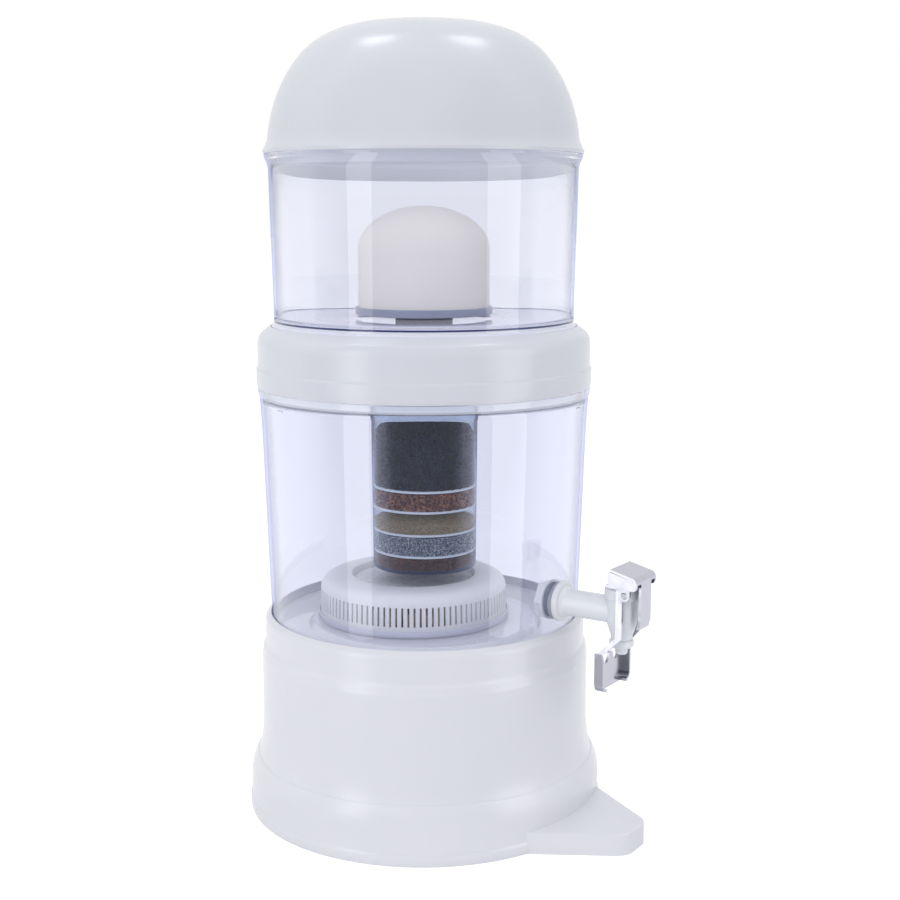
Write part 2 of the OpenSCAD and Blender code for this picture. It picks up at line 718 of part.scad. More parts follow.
module tap_lever() {
  t = metal_t;
  color("silver") difference() {
    union() {
      // Top of the hood, over the full width, and its narrower front plate
      side_plate(concat(hood_line, reversed(shifted(hood_line, -t))), cheek_gap + 2 * t);
      front_line = concat([hood_line[len(hood_line) - 1]], flap_line);
      side_plate(concat(front_line, reversed(shifted(front_line, -t))), flap_w);
      // Fork that lifts the stem
      difference() {
        translate([-cheek_x - t / 2, tap_y - fork_front, fork_z])
          cube([cheek_gap + t, fork_front + fork_back, fork_t]);
        translate([-fork_slot_r, tap_y, fork_z - cut])
          cube([2 * fork_slot_r, fork_back + cut, fork_t + 2 * cut]);
        tap_upright() translate([0, 0, fork_z - cut]) cylinder(r = fork_slot_r, h = fork_t + 2 * cut);
      }
      both_sides() {
        // Cheek with the lug round the pin
        translate([cheek_x + t / 2, 0, 0]) {
          side_plate(concat(hood_line, [[hood_front_y, cheek_low_z + 3], [hood_front_y + 3, cheek_low_z],
            [hood_back_y, cheek_low_z]]), t);
          translate([-t / 2, pin_y, pin_z]) rotate([0, 90, 0]) cylinder(r = 4.5, h = t);
          translate([-t / 2, pin_y - 4.5, pin_z]) cube([t, 9, cheek_low_z - pin_z + 1]);
          // Arm down the side of the body
          translate([-t / 2, arm_y - arm_w / 2, arm_low_z]) cube([t, arm_w, cheek_low_z - arm_low_z + 1]);
        }
        // Kinked part of the arm that flares out to the paddle
        hull() {
          translate([cheek_x, arm_y - arm_w / 2, arm_low_z]) cube([t, arm_w, 0.5]);
          translate([paddle_x - t, paddle_y - paddle_flange / 2 - arm_w / 2, flare_z]) cube([t, arm_w, 0.5]);
        }
        // Flange along the side of the paddle
        translate([paddle_x - t, paddle_y - paddle_flange, paddle_low_z + paddle_corner_r])
          cube([t, paddle_flange, flare_z - paddle_low_z - paddle_corner_r + 0.5]);
        intersection() {
          translate([paddle_x - paddle_corner_r, paddle_y, paddle_low_z + paddle_corner_r])
            rotate([90, 0, 0]) difference() {
              cylinder(r = paddle_corner_r, h = paddle_flange);
              translate([0, 0, -cut]) cylinder(r = paddle_corner_r - t, h = paddle_flange + 2 * cut);
            }
          translate([paddle_x - paddle_corner_r, paddle_y - paddle_flange, paddle_low_z])
            cube([paddle_corner_r, paddle_flange, paddle_corner_r]);
        }
      }
      translate([0, paddle_y, 0]) rotate([90, 0, 0]) linear_extrude(t) paddle_outline();
    }
    // Bore for the pin
    translate([0, pin_y, pin_z]) rotate([0, 90, 0]) cylinder(r = pin_r, h = 2 * paddle_w, center = true);
  }
}

module lever_pin() {
  head_x = cheek_x + metal_t;
  color("gainsboro") translate([0, pin_y, pin_z]) rotate([0, 90, 0]) {
    cylinder(r = pin_r, h = 2 * head_x, center = true);
    for (s = [0, 1]) mirror([0, 0, s]) translate([0, 0, head_x])
      cylinder(r1 = pin_r + 1, r2 = pin_r + 0.4, h = 0.8);
  }
}

// --------------------------------------------------------- mineral case

// The case stands off the tank's axis, away from the tap
module case_place() {
  translate([0, case_shift, low_floor_z]) children();
}

module case_tray() {
  tray_r = case_r + tray_rim;
  color("lavender") case_place() turned([[0, 0], [tray_r - 1, 0], [tray_r, 1], [tray_r, tray_h],
    [tray_r - 1.2, tray_h], [tray_r - 1.2, tray_t], [0, tray_t]]);
}

// Outer line of the cover, from the skirt's foot up and over to the pad's recess
case_skirt_h = case_h - 9.5;
case_line = concat(
  [[case_r, tray_t + loose_gap], [case_r, 6], [case_r - 0.5, case_skirt_h]],
  curve([case_r - 0.5, case_skirt_h], [case_r - 1.5, case_h - 2], [case_r - 12, case_h - 0.5]),
  [[pad_r + 8, case_h], [pad_r + 1.5, case_h - 0.6], [pad_r + loose_gap, case_h - recess_h]]);

module case_cover() {
  slot_z = case_skirt_h - slot_h - 1;
  inner_line = reversed(shifted(case_line, -case_wall));
  recess_z = case_h - recess_h;
  color("whitesmoke") case_place() difference() {
    union() {
      turned(concat(case_line, inner_line));
      translate([0, 0, recess_z - case_wall]) cylinder(r = pad_r + loose_gap + case_wall, h = case_wall);
    }
    for (i = [0:slot_count - 1]) rotate(i * 360 / slot_count)
      translate([case_r - case_wall - 3, -slot_w / 2, slot_z]) cube([case_wall + 5, slot_w, slot_h]);
  }
}

module case_pad() {
  color("darkgray") case_place() translate([0, 0, case_h - recess_h]) {
    cylinder(r = pad_r, h = 1.2);
    translate([0, 0, 1.2]) cylinder(r1 = pad_r, r2 = pad_r - 0.6, h = 0.6);
  }
}

module case_stones() {
  pitch = 2 * stone_r + 0.9;
  rings = floor((case_r - case_wall - stone_r - 0.5) / pitch);
  color("rosybrown") case_place() translate([0, 0, tray_t + stone_r]) {
    sphere(r = stone_r, $fn = 32);
    for (k = [1:rings], i = [0:6 * k - 1]) rotate(i * 60 / k + 20 * k)
      translate([k * pitch, 0, 0]) sphere(r = stone_r, $fn = 32);
  }
}

// --------------------------------------------------------------- collar

module collar() {
  bore_r = neck_r + lift_gap;
  seat_r = up_foot_r + lift_gap;
  skirt_out_r = neck_r - tank_wall - lift_gap;
  seat_z = collar_h - seat_depth;
  top_line = concat([[seat_r + 0.8, collar_h], [seat_r + 6, collar_h - 4.2]],
    curve([seat_r + 6, collar_h - 4.2], [collar_r, collar_h - 7], [collar_r, collar_h - collar_shoulder_h]));
  color("whitesmoke") translate([0, 0, bead_z]) {
    turned(concat([[seat_r, seat_z], [seat_r, collar_h - 0.5]], top_line,
      [[collar_r, collar_band_h + 1.5], [collar_band_r, collar_band_h], [collar_band_r, 4],
        [collar_band_r - 0.6, 0], [bore_r, 0], [bore_r, neck_h + 10], [seat_r, seat_z - collar_wall]]));
    // Ledge under the upper tank, with a lip round its opening
    ring(seat_r + 0.5, collar_hole_r, seat_z - collar_wall, collar_wall);
    ring(collar_hole_r + collar_wall, collar_hole_r, seat_z - collar_lip_h, collar_lip_h);
    // Skirt that reaches into the lower tank's neck
    ring(skirt_out_r, skirt_out_r - collar_wall, collar_skirt_low,
      seat_z - collar_skirt_low - collar_wall / 2);
    // Ribs between skirt and lip
    for (i = [0:collar_ribs - 1]) rotate((i + 0.5) * 360 / collar_ribs)
      translate([collar_hole_r + 1, -collar_rib_t / 2, seat_z - collar_lip_h])
        cube([skirt_out_r - collar_hole_r - 2, collar_rib_t, collar_lip_h - collar_wall / 2]);
  }
}

// ----------------------------------------------------------- upper tank

module upper_tank() {
  w = tank_wall;
  rim_z = up_h - up_rim_h;
  low_wall_h = up_foot_h + floor_t;
  color("lavender", 0.35) translate([0, 0, up_z]) difference() {
    turned([[0, up_foot_h], [up_foot_r - 4, up_foot_h], [up_foot_r - 4, 0], [up_foot_r, 0],
      [up_foot_r, up_foot_h - 1.5], [up_low_r, up_foot_h - 0.3], [up_low_r, low_wall_h + 14],
      [up_top_r, rim_z - 8], [up_top_r + 0.8, rim_z - 4], [up_rim_r - 0.4, rim_z], [up_rim_r, rim_z + 0.8],
      [up_rim_r, up_h], [0, up_h]]);
    turned(concat([[0, low_wall_h], [up_low_r - w - 3, low_wall_h]],
        curve([up_low_r - w - 3, low_wall_h], [up_low_r - w, low_wall_h], [up_low_r - w, low_wall_h + 3], 4),
      [[up_low_r - w, low_wall_h + 14], [up_top_r - w, rim_z - 8], [up_top_r - w, up_h + cut],
        [0, up_h + cut]]));
    cylinder(r = stem_r + loose_gap, h = 2 * low_wall_h);
  }
}

// --------------------------------------------------------- ceramic dome

// Outline of a dome: a straight side and an elliptical top
function dome_points(r, straight, top) = concat([[0, 0], [r, 0]],
  [for (i = [0:12]) let (a = i * 7.5) [r * cos(a), straight + top * sin(a)]]);

module dome_shell() {
  color("linen") translate([0, 0, dome_z]) difference() {
    turned(dome_points(dome_r, dome_straight_h, dome_cap_h));
    translate([0, 0, -cut])
      turned(dome_points(dome_r - dome_wall, dome_straight_h + cut, dome_cap_h - dome_wall));
  }
}

module dome_base() {
  lip_r = dome_r + loose_gap;
  lip_top = plate_t + plate_lip_h;
  color("lightsteelblue") difference() {
    union() {
      translate([0, 0, plate_z]) turned([[0, 0], [lip_r + 1.6, 0], [lip_r + 2, 0.5],
        [lip_r + 2, lip_top - 0.6], [lip_r + 1.4, lip_top], [lip_r, lip_top], [lip_r, plate_t],
        [0, plate_t]]);
      translate([0, 0, cup_floor_z + washer_t]) cylinder(r = stem_r, h = plate_z - cup_floor_z);
    }
    cylinder(r = stem_bore_r, h = plate_z + 2 * plate_t);
  }
}

module dome_washer() {
  color("dimgray") ring(dome_washer_r, stem_r + loose_gap, up_floor_z, washer_t);
}

module floor_washer() {
  color("dimgray") ring(floor_washer_r, stem_r + loose_gap, nut_z + nut_h, washer_t);
}

module dome_nut() {
  rim_t = 1.5;
  color("gainsboro") difference() {
    union() {
      translate([0, 0, nut_z]) cylinder(d = nut_w / cos(30), h = nut_h - rim_t, $fn = 6);
      translate([0, 0, nut_z + nut_h - rim_t]) cylinder(d = nut_w + 4, h = rim_t);
    }
    translate([0, 0, nut_z - cut]) cylinder(r = stem_r, h = nut_h + 2 * cut);
  }
}

// ------------------------------------------------------------ cartridge

module cartridge_cap() {
  low_z = cap_top_z - cap_h;
  color("midnightblue") difference() {
    turned([[0, low_z], [cap_r, low_z], [cap_r, cap_top_z - 1], [cap_r - 1, cap_top_z], [0, cap_top_z]]);
    // Room for the tube below and the nut above
    translate([0, 0, low_z - cut])
      cylinder(r = cart_top_r + loose_gap, h = cup_floor_z - cup_floor_t - low_z + cut);
    ring(cap_r - cap_wall, stem_r + 5, cup_floor_z, cup_depth + cut);
    translate([0, 0, cup_floor_z + hub_h]) cylinder(r = cap_r - cap_wall, h = cup_depth);
    // Socket for the stem and the water way into the tube
    translate([0, 0, cup_floor_z]) cylinder(r = stem_r + run_gap, h = cup_depth);
    translate([0, 0, low_z - cut]) cylinder(r = stem_bore_r, h = cup_depth + cap_h);
  }
}

module cartridge_gasket() {
  color("dimgray") ring(cart_top_r, cart_top_r - 2 * cart_wall, tube_top_z, washer_t);
}

module cartridge_tube() {
  color("lightsteelblue", 0.4) turned([[cart_low_r - cart_wall, cart_z], [cart_low_r - 0.8, cart_z],
    [cart_low_r, cart_z + 1.5], [cart_top_r, tube_top_z], [cart_top_r - cart_wall, tube_top_z]]);
}

module cartridge_bottom() {
  hole_ring_r = cart_low_r * 0.6;
  color("steelblue") difference() {
    translate([0, 0, cart_z]) cylinder(r = cart_low_r - cart_wall, h = sieve_t);
    for (k = [1:2], i = [0:6 * k - 1]) rotate(i * 60 / k)
      translate([k * hole_ring_r / 2, 0, cart_z - cut]) cylinder(r = 1.5, h = sieve_t + 2 * cut);
  }
}

module separator_pads() {
  color("aliceblue") for (z = [pad_1_z, pad_2_z, pad_3_z, pad_4_z])
    translate([0, 0, z]) cylinder(r = tube_r(z) - loose_gap / 2, h = pad_t);
}

// A layer of grains that fills the tube from z up to z + h
module layer(z, h) {
  translate([0, 0, z]) cylinder(r1 = tube_r(z) - loose_gap, r2 = tube_r(z + h) - loose_gap, h = h);
}

// A layer with a heaped top, low by heap at the wall
module heaped_layer(z, h, heap) {
  r = tube_r(z) - loose_gap;
  wall_point = [r, z + h - heap];
  turned(concat([[0, z], [r, z], wall_point], curve(wall_point, [r / 2, z + h], [0, z + h], 6)));
}

module media_carbon() {
  color("black") heaped_layer(carbon_z, carbon_h, carbon_heap);
}

module media_red() {
  color("brown") layer(red_z, red_h);
}

module media_sand() {
  color("tan") heaped_layer(sand_z, sand_h, sand_heap);
}

module media_zeolite() {
  color("gray") layer(zeolite_z, zeolite_h);
}

module media_mineral() {
  color("saddlebrown") layer(mineral_z, mineral_h);
}

// ------------------------------------------------------------------ lid

module lid() {
  // Outline of the lid from the middle of its crown down to its edge
  crown_end = [crown_r, lid_h - 1.2];
  shoulder_end = [lid_edge_r - 28.4, lid_h - 24.4];
  side_end = [lid_edge_r - 3.6, 10];
  dome_line = concat(
    [[0, lid_h]],
    curve([0, lid_h], [crown_r - 7, lid_h], crown_end, 4),
    curve(crown_end, [lid_edge_r - 43.4, lid_h - 6.5], shoulder_end, 8),
    curve(shoulder_end, [lid_edge_r - 7.4, lid_h / 2 - 1], side_end, 8));
  ring_r = up_top_r - tank_wall - lift_gap;
  color("white") translate([0, 0, lid_z]) {
    turned(concat(dome_line, [[lid_edge_r - 1.2, 4.2], [lid_edge_r, 2.7], [lid_edge_r, 0.5],
      [lid_edge_r - 0.5, 0], [ring_r - lid_wall, 0]], reversed(shifted(dome_line, lid_wall))));
    // Ring that centres the lid in the tank's mouth
    ring(ring_r, ring_r - 2, -lid_ring_h, lid_ring_h + 3);
  }
}

base_stand();
lower_tank();
tap_body();
tap_bonnet();
tap_outer_washer();
tap_inner_washer();
tap_nut();
tap_nozzle();
tap_spring();
valve_stem();
valve_seal();
tap_lever();
lever_pin();
case_tray();
case_cover();
case_pad();
case_stones();
collar();
upper_tank();
dome_shell();
dome_base();
dome_washer();
floor_washer();
dome_nut();
cartridge_cap();
cartridge_gasket();
cartridge_tube();
cartridge_bottom();
separator_pads();
media_carbon();
media_red();
media_sand();
media_zeolite();
media_mineral();
lid();
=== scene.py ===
"""Gravity water filter with tap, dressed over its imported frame.

The file follows the filter as it is put together on a table: the stand, the lower tank,
the mineral case in it, the tap, the collar, the upper tank, the ceramic dome with the
cartridge that hangs from it, and the lid. Outlines are in millimetres, meshes in metres.
"""
import bmesh
import bpy
import math
import random
from mathutils import Matrix, Vector, noise


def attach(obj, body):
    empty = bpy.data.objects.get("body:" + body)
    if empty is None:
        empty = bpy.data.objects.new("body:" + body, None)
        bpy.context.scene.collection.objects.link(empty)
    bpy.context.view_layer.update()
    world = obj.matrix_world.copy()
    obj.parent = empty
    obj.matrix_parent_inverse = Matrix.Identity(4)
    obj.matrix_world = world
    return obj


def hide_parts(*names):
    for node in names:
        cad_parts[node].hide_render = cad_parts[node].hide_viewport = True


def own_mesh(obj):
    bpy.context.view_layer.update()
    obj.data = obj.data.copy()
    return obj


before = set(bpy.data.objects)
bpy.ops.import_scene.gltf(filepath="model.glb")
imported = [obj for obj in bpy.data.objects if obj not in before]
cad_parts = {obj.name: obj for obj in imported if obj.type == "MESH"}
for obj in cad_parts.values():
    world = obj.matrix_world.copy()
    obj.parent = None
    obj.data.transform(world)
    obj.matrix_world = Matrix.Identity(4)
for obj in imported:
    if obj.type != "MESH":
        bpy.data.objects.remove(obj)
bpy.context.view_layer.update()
scene = bpy.context.scene

# ---------------------------------------------------------------- the studio
# A white table top that runs into a white surround. A broad fill stands over the camera and a
# tall window on each side of it, and what glass and chrome mirror besides them is dimmer.
MM = 0.001
LENS_PIXELS, FRAME_PIXELS, SENSOR_MM = 1485, 900, 36
camera_side, camera_tilt, camera_turn = math.radians(-55), math.radians(9.49), math.radians(1.0)
camera_away, camera_height = 1.1475, 0.4745


def linear(colour, alpha=1.0):
    """An sRGB hex colour as linear red, green and blue."""
    parts = [int(colour[i:i + 2], 16) / 255 for i in (1, 3, 5)]
    return (*(c / 12.92 if c <= 0.04045 else ((c + 0.055) / 1.055) ** 2.4 for c in parts), alpha)


def add(tree, kind, inputs=None, **settings):
    """Adds a shader node. An input is a value, or another node's output that is linked to it."""
    made = tree.nodes.new("ShaderNode" + kind)
    for name, value in settings.items():
        setattr(made, name, value)
    for name, value in (inputs or {}).items():
        if isinstance(value, bpy.types.NodeSocket):
            tree.links.new(value, made.inputs[name])
        else:
            made.inputs[name].default_value = value
    return made


def seen_directly(tree):
    """1 on rays that show the surround itself: straight to the camera, mirrored or through glass."""
    path = add(tree, "LightPath").outputs
    either = add(tree, "Math", {0: path["Is Camera Ray"], 1: path["Is Glossy Ray"]}, operation="MAXIMUM")
    either = add(tree, "Math", {0: either.outputs[0], 1: path["Is Transmission Ray"]}, operation="MAXIMUM")
    unlit = add(tree, "Math", {0: path["Diffuse Depth"], 1: 0.5}, operation="LESS_THAN")
    return add(tree, "Math", {0: either.outputs[0], 1: unlit.outputs[0]}, operation="MULTIPLY")


camera = bpy.data.objects.new("camera", bpy.data.cameras.new("camera"))
camera.data.lens = LENS_PIXELS / FRAME_PIXELS * SENSOR_MM
camera.data.sensor_width = SENSOR_MM
camera.location = (math.sin(camera_side) * camera_away, -math.cos(camera_side) * camera_away, camera_height)
camera.rotation_euler = (math.pi / 2 - camera_tilt, 0, camera_side - camera_turn)
scene.collection.objects.link(camera)
scene.camera = camera
scene.view_settings.view_transform = "Standard"

surround = bpy.data.worlds.new("surround")
surround.use_nodes = True
surround.node_tree.nodes.clear()
scene.world = surround
# The room behind the camera is dark where it is mirrored, so that clear walls don't mirror white
# over what is behind them. Seen straight on, or through a wall, it is white all round.
room_tree = surround.node_tree
to_camera = (math.sin(camera_side), -math.cos(camera_side), 0)
dark_from, dark_share, light_cast = 0.55, 0.14, 0.78
outward = add(room_tree, "TexCoord").outputs["Generated"]
towards = add(room_tree, "VectorMath", {0: outward, 1: to_camera}, operation="DOT_PRODUCT")
room = add(room_tree, "MapRange", {
    "Value": towards.outputs["Value"], "From Min": 0.0, "From Max": dark_from,
    "To Min": 1.0, "To Max": dark_share}, interpolation_type="SMOOTHSTEP")
mirrored_depth = add(room_tree, "LightPath").outputs["Glossy Depth"]
brightness = add(room_tree, "MapRange", {
    "Value": mirrored_depth, "To Min": 1.0, "To Max": room.outputs["Result"]})
shown = add(room_tree, "Background", {
    "Color": linear("#FFFFFF"), "Strength": brightness.outputs["Result"]})
cast = add(room_tree, "Background", {"Color": linear("#F6F7FA"), "Strength": light_cast})
either = add(room_tree, "MixShader", {
    0: seen_directly(room_tree).outputs[0], 1: cast.outputs[0], 2: shown.outputs[0]})
add(room_tree, "OutputWorld", {"Surface": either.outputs[0]})

# The table top: part paint and part its own light where it is seen, so that it is white and
# still keeps a soft shadow. It is a little less bright through a clear wall, which keeps the
# wall's tint, and towards the camera it goes dark in what mirrors it.
table_top = bpy.data.materials.new("white_table_top")
table_top.use_nodes = True
table_tree = table_top.node_tree
table_tree.nodes.clear()
glow_plain, glow_through, glow_mirrored, glow_share = 1.3, 1.08, 0.1, 0.72
paint = add(table_tree, "BsdfDiffuse", {"Color": linear("#F2F2F4")})
spot = add(table_tree, "TexCoord").outputs["Object"]
in_front = add(table_tree, "VectorMath", {0: spot, 1: to_camera}, operation="DOT_PRODUCT")
faded = add(table_tree, "MapRange", {
    "Value": in_front.outputs["Value"], "From Min": -0.2, "From Max": 0.7,
    "To Min": glow_plain, "To Max": glow_mirrored}, interpolation_type="SMOOTHSTEP")
path = add(table_tree, "LightPath").outputs
through = add(table_tree, "MapRange", {
    "Value": path["Transmission Depth"], "To Min": glow_plain, "To Max": glow_through})
strength = add(table_tree, "MapRange", {
    "Value": path["Glossy Depth"], "To Min": through.outputs["Result"], "To Max": faded.outputs["Result"]})
glow = add(table_tree, "Emission", {"Color": linear("#FFFFFF"), "Strength": strength.outputs["Result"]})
lit_up = seen_directly(table_tree).outputs[0]
share = add(table_tree, "Math", {0: lit_up, 1: glow_share}, operation="MULTIPLY")
either = add(table_tree, "MixShader", {0: share.outputs[0], 1: paint.outputs[0], 2: glow.outputs[0]})
add(table_tree, "OutputMaterial", {"Surface": either.outputs[0]})

floor_mesh = bpy.data.meshes.new("floor")
floor_half = 14.0
floor_corners = [(x * floor_half, y * floor_half, 0) for x, y in ((-1, -1), (1, -1), (1, 1), (-1, 1))]
floor_mesh.from_pydata(floor_corners, [], [(0, 1, 2, 3)])
floor_mesh.materials.append(table_top)
floor = bpy.data.objects.new("floor", floor_mesh)
scene.collection.objects.link(floor)


def soft_box(name, place, width, height, watts, mirrored=True, lights=True):
    """A soft box that faces the middle of the filter and stays out of the picture itself, also
    behind clear walls. One that only lights isn't mirrored, and one that is only mirrored adds a
    gleam and no light."""
    lamp = bpy.data.lights.new(name, "AREA")
    lamp.shape = "RECTANGLE"
    lamp.size, lamp.size_y = width, height
    lamp.energy = watts
    box = bpy.data.objects.new(name, lamp)
    box.location = place
    box.rotation_euler = (Vector((0, 0, 0.3)) - Vector(place)).to_track_quat("-Z", "Y").to_euler()
    box.visible_camera = False
    box.visible_transmission = False
    box.visible_glossy = mirrored
    box.visible_diffuse = lights
    scene.collection.objects.link(box)


def beside_camera(turn, away, height):
    """A point at an angle to the right of the camera's direction, seen from the filter."""
    side = camera_side + math.radians(turn)
    return (math.sin(side) * away, -math.cos(side) * away, height)


soft_box("broad_fill", beside_camera(-30, 2.4, 1.3), 2.6, 2.0, 15, mirrored=False)
soft_box("right_fill", beside_camera(75, 2.4, 1.3), 2.0, 1.6, 3, mirrored=False)
soft_box("overhead", beside_camera(10, 0.5, 2.2), 1.4, 1.2, 5, mirrored=False)
soft_box("window_left", beside_camera(-42, 0.5, 0.315), 0.15, 0.57, 0.52, lights=False)
soft_box("window_right", beside_camera(54, 0.5, 0.315), 0.22, 0.57, 0.76, lights=False)
soft_box("skylight_left", beside_camera(-118, 0.68, 2.2), 0.45, 0.45, 3.2, lights=False)
soft_box("skylight_right", beside_camera(115, 0.66, 2.2), 0.45, 0.45, 3.2, lights=False)

# -------------------------------------------------------------------- stand
# The stand is one hollow ABS moulding with thick walls and a cup rest, open below. It comes
# out of a polished mould, so it has a soft gloss and the faintest orange peel.


def bend(start, towards, end, steps=8):
    """Points after start, on a smooth curve to end that heads for towards on the way."""
    a, b, c = Vector(start), Vector(towards), Vector(end)
    shares = [i / steps for i in range(1, steps + 1)]
    return [tuple((1 - t) ** 2 * a + 2 * t * (1 - t) * b + t * t * c) for t in shares]


def shifted(line, distance):
    """An open line moved to its right-hand side, and kept off the axis."""
    moved = []
    for i, (x, y) in enumerate(line):
        way = Vector(line[min(i + 1, len(line) - 1)]) - Vector(line[max(i - 1, 0)])
        way.normalize()
        moved.append((0 if x == 0 else x + distance * way.y, y - distance * way.x))
    return moved


def rounded(outline, radius, steps=3, least_turn=0.35):
    """A closed outline whose sharp corners off the axis are rounded off."""
    made = []
    count = len(outline)
    for i, corner in enumerate(outline):
        here = Vector(corner)
        back, ahead = Vector(outline[i - 1]) - here, Vector(outline[(i + 1) % count]) - here
        if corner[0] < 1e-6 or back.length < 1e-6 or ahead.length < 1e-6:
            made.append(tuple(corner))
            continue
        turn = math.pi - back.angle(ahead)
        if turn < least_turn:
            made.append(tuple(corner))
            continue
        reach = min(radius * math.tan(turn / 2), 0.45 * back.length, 0.45 * ahead.length)
        start, end = here + back.normalized() * reach, here + ahead.normalized() * reach
        made += [tuple(start), *bend(start, here, end, steps)]
    return made


def ring(made, r, z, angles):
    """New points round the upright axis, or a single one on it."""
    if r < 1e-6:
        return [made.verts.new((0, 0, z * MM))]
    return [made.verts.new((r * MM * math.cos(a), r * MM * math.sin(a), z * MM)) for a in angles]


def finished(made):
    """The mesh of a closed shape, with its faces turned outwards."""
    bmesh.ops.recalc_face_normals(made, faces=made.faces)
    mesh = bpy.data.meshes.new("shape")
    made.to_mesh(mesh)
    made.free()
    return mesh


def turned(outline, steps=256):
    """A mesh turned round the upright axis from a closed outline of (radius, height)."""
    made = bmesh.new()
    angles = [2 * math.pi * i / steps for i in range(steps)]
    rows = [ring(made, r, z, angles) for r, z in outline]
    for low, high in zip(rows, rows[1:] + rows[:1]):
        for i in range(steps if len(low) + len(high) > 2 else 0):
            j = (i + 1) % steps
            corners = [low[i % len(low)], low[j % len(low)], high[j % len(high)], high[i % len(high)]]
            made.faces.new(list(dict.fromkeys(corners)))
    return finished(made)


def oblong(x_low, y_low, x_high, y_high):
    """The corners of an upright rectangle."""
    return [(x_low, y_low), (x_high, y_low), (x_high, y_high), (x_low, y_high)]


def prism(outline, low, high, edge=0.0):
    """A mesh drawn up from a flat outline in X and Y, with its upper edge rounded by edge."""
    rings = [(0.0, low)]
    if edge:
        turns = [math.radians(30 * i) for i in range(4)]
        rings += [(edge * (1 - math.cos(a)), high - edge + edge * math.sin(a)) for a in turns]
    else:
        rings.append((0.0, high))
    made = bmesh.new()
    rows = []
    for inset, z in rings:
        line = shifted([outline[-1], *outline, outline[0]], -inset)[1:-1] if inset else outline
        rows.append([made.verts.new((x * MM, y * MM, z * MM)) for x, y in line])
    count = len(outline)
    for low_row, high_row in zip(rows, rows[1:]):
        for i in range(count):
            j = (i + 1) % count
            made.faces.new((low_row[i], low_row[j], high_row[j], high_row[i]))
    made.faces.new(rows[0][::-1])
    made.faces.new(rows[-1])
    return finished(made)


def combined(mesh, others, operation):
    """A mesh with other meshes joined to it or cut from it, as one closed solid."""
    first = bpy.data.objects.new("first", mesh)
    scene.collection.objects.link(first)
    tools = []
    for other in others:
        tool = bpy.data.objects.new("tool", other)
        scene.collection.objects.link(tool)
        tools.append(tool)
        step = first.modifiers.new("step", "BOOLEAN")
        step.operation, step.solver, step.object = operation, "MANIFOLD", tool
    bpy.context.view_layer.update()
    made = bpy.data.meshes.new_from_object(first.evaluated_get(bpy.context.evaluated_depsgraph_get()))
    for used in [first, *tools]:
        bpy.data.objects.remove(used)
    return made


def piece(name, mesh, material, body, slot, *nodes, crease=32):
    """A finished piece: shaded smooth up to a crease angle, riding on its body."""
    mesh.materials.clear()
    mesh.materials.append(material)
    mesh.shade_smooth()
    mesh.set_sharp_from_angle(angle=math.radians(crease))
    made = bpy.data.objects.new(name, mesh)
    scene.collection.objects.link(made)
    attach(made, body)
    if nodes:
        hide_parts(*nodes)
    return made


def start_material(name):
    """A new material, its node tree, its shader and the coordinates that patterns follow."""
    material = bpy.data.materials.new(name)
    material.use_nodes = True
    tree = material.node_tree
    return material, tree, tree.nodes["Principled BSDF"], add(tree, "TexCoord").outputs["Object"]


def lit_path(tree):
    """1 on rays that carry light to a surface, and 0 on those that show a picture of it."""
    path = add(tree, "LightPath").outputs
    lit = add(tree, "Math", {0: path["Is Shadow Ray"], 1: path["Is Diffuse Ray"]}, operation="MAXIMUM")
    return lit.outputs[0]


def let_light_in(tree, shader, share):
    """Lets a share of the light on to what is behind each face of a thin pale wall. The wall
    itself looks as solid as before."""
    unseen = add(tree, "Math", {0: lit_path(tree), 1: share}, operation="MULTIPLY")
    surface = add(tree, "MixShader", {0: unseen.outputs[0], 1: shader.outputs[0],
                                      2: add(tree, "BsdfTransparent").outputs[0]})
    tree.links.new(surface.outputs[0], tree.nodes["Material Output"].inputs["Surface"])


def moulded_white(name, pale, cool, lets_through=0.0):
    """White plastic from a polished mould: pale, evenly glossy, with a hint of cooler patches.
    A thin wall lets some light through each of its faces."""
    patch_mm, peel_mm = 70, 2.4
    material, tree, shader, place = start_material(name)
    shader.inputs["IOR"].default_value = 1.52
    patches = add(tree, "TexNoise", {"Vector": place, "Scale": 1 / (patch_mm * MM), "Detail": 1.0})
    colour = add(tree, "Mix", {"Factor": patches.outputs["Fac"], "A": linear(pale), "B": linear(cool)},
                 data_type="RGBA")
    tree.links.new(colour.outputs["Result"], shader.inputs["Base Color"])
    peel = add(tree, "TexNoise", {"Vector": place, "Scale": 1 / (peel_mm * MM), "Detail": 2.0})
    gloss = add(tree, "MapRange", {"Value": peel.outputs["Fac"], "To Min": 0.2, "To Max": 0.28})
    tree.links.new(gloss.outputs["Result"], shader.inputs["Roughness"])
    relief = add(tree, "Bump", {"Height": peel.outputs["Fac"], "Strength": 0.05, "Distance": 0.2 * MM})
    tree.links.new(relief.outputs["Normal"], shader.inputs["Normal"])
    if lets_through:
        let_light_in(tree, shader, lets_through)
    return material


stand_white = moulded_white("moulded_abs_stand", "#E7E7EC", "#E2E3EA")

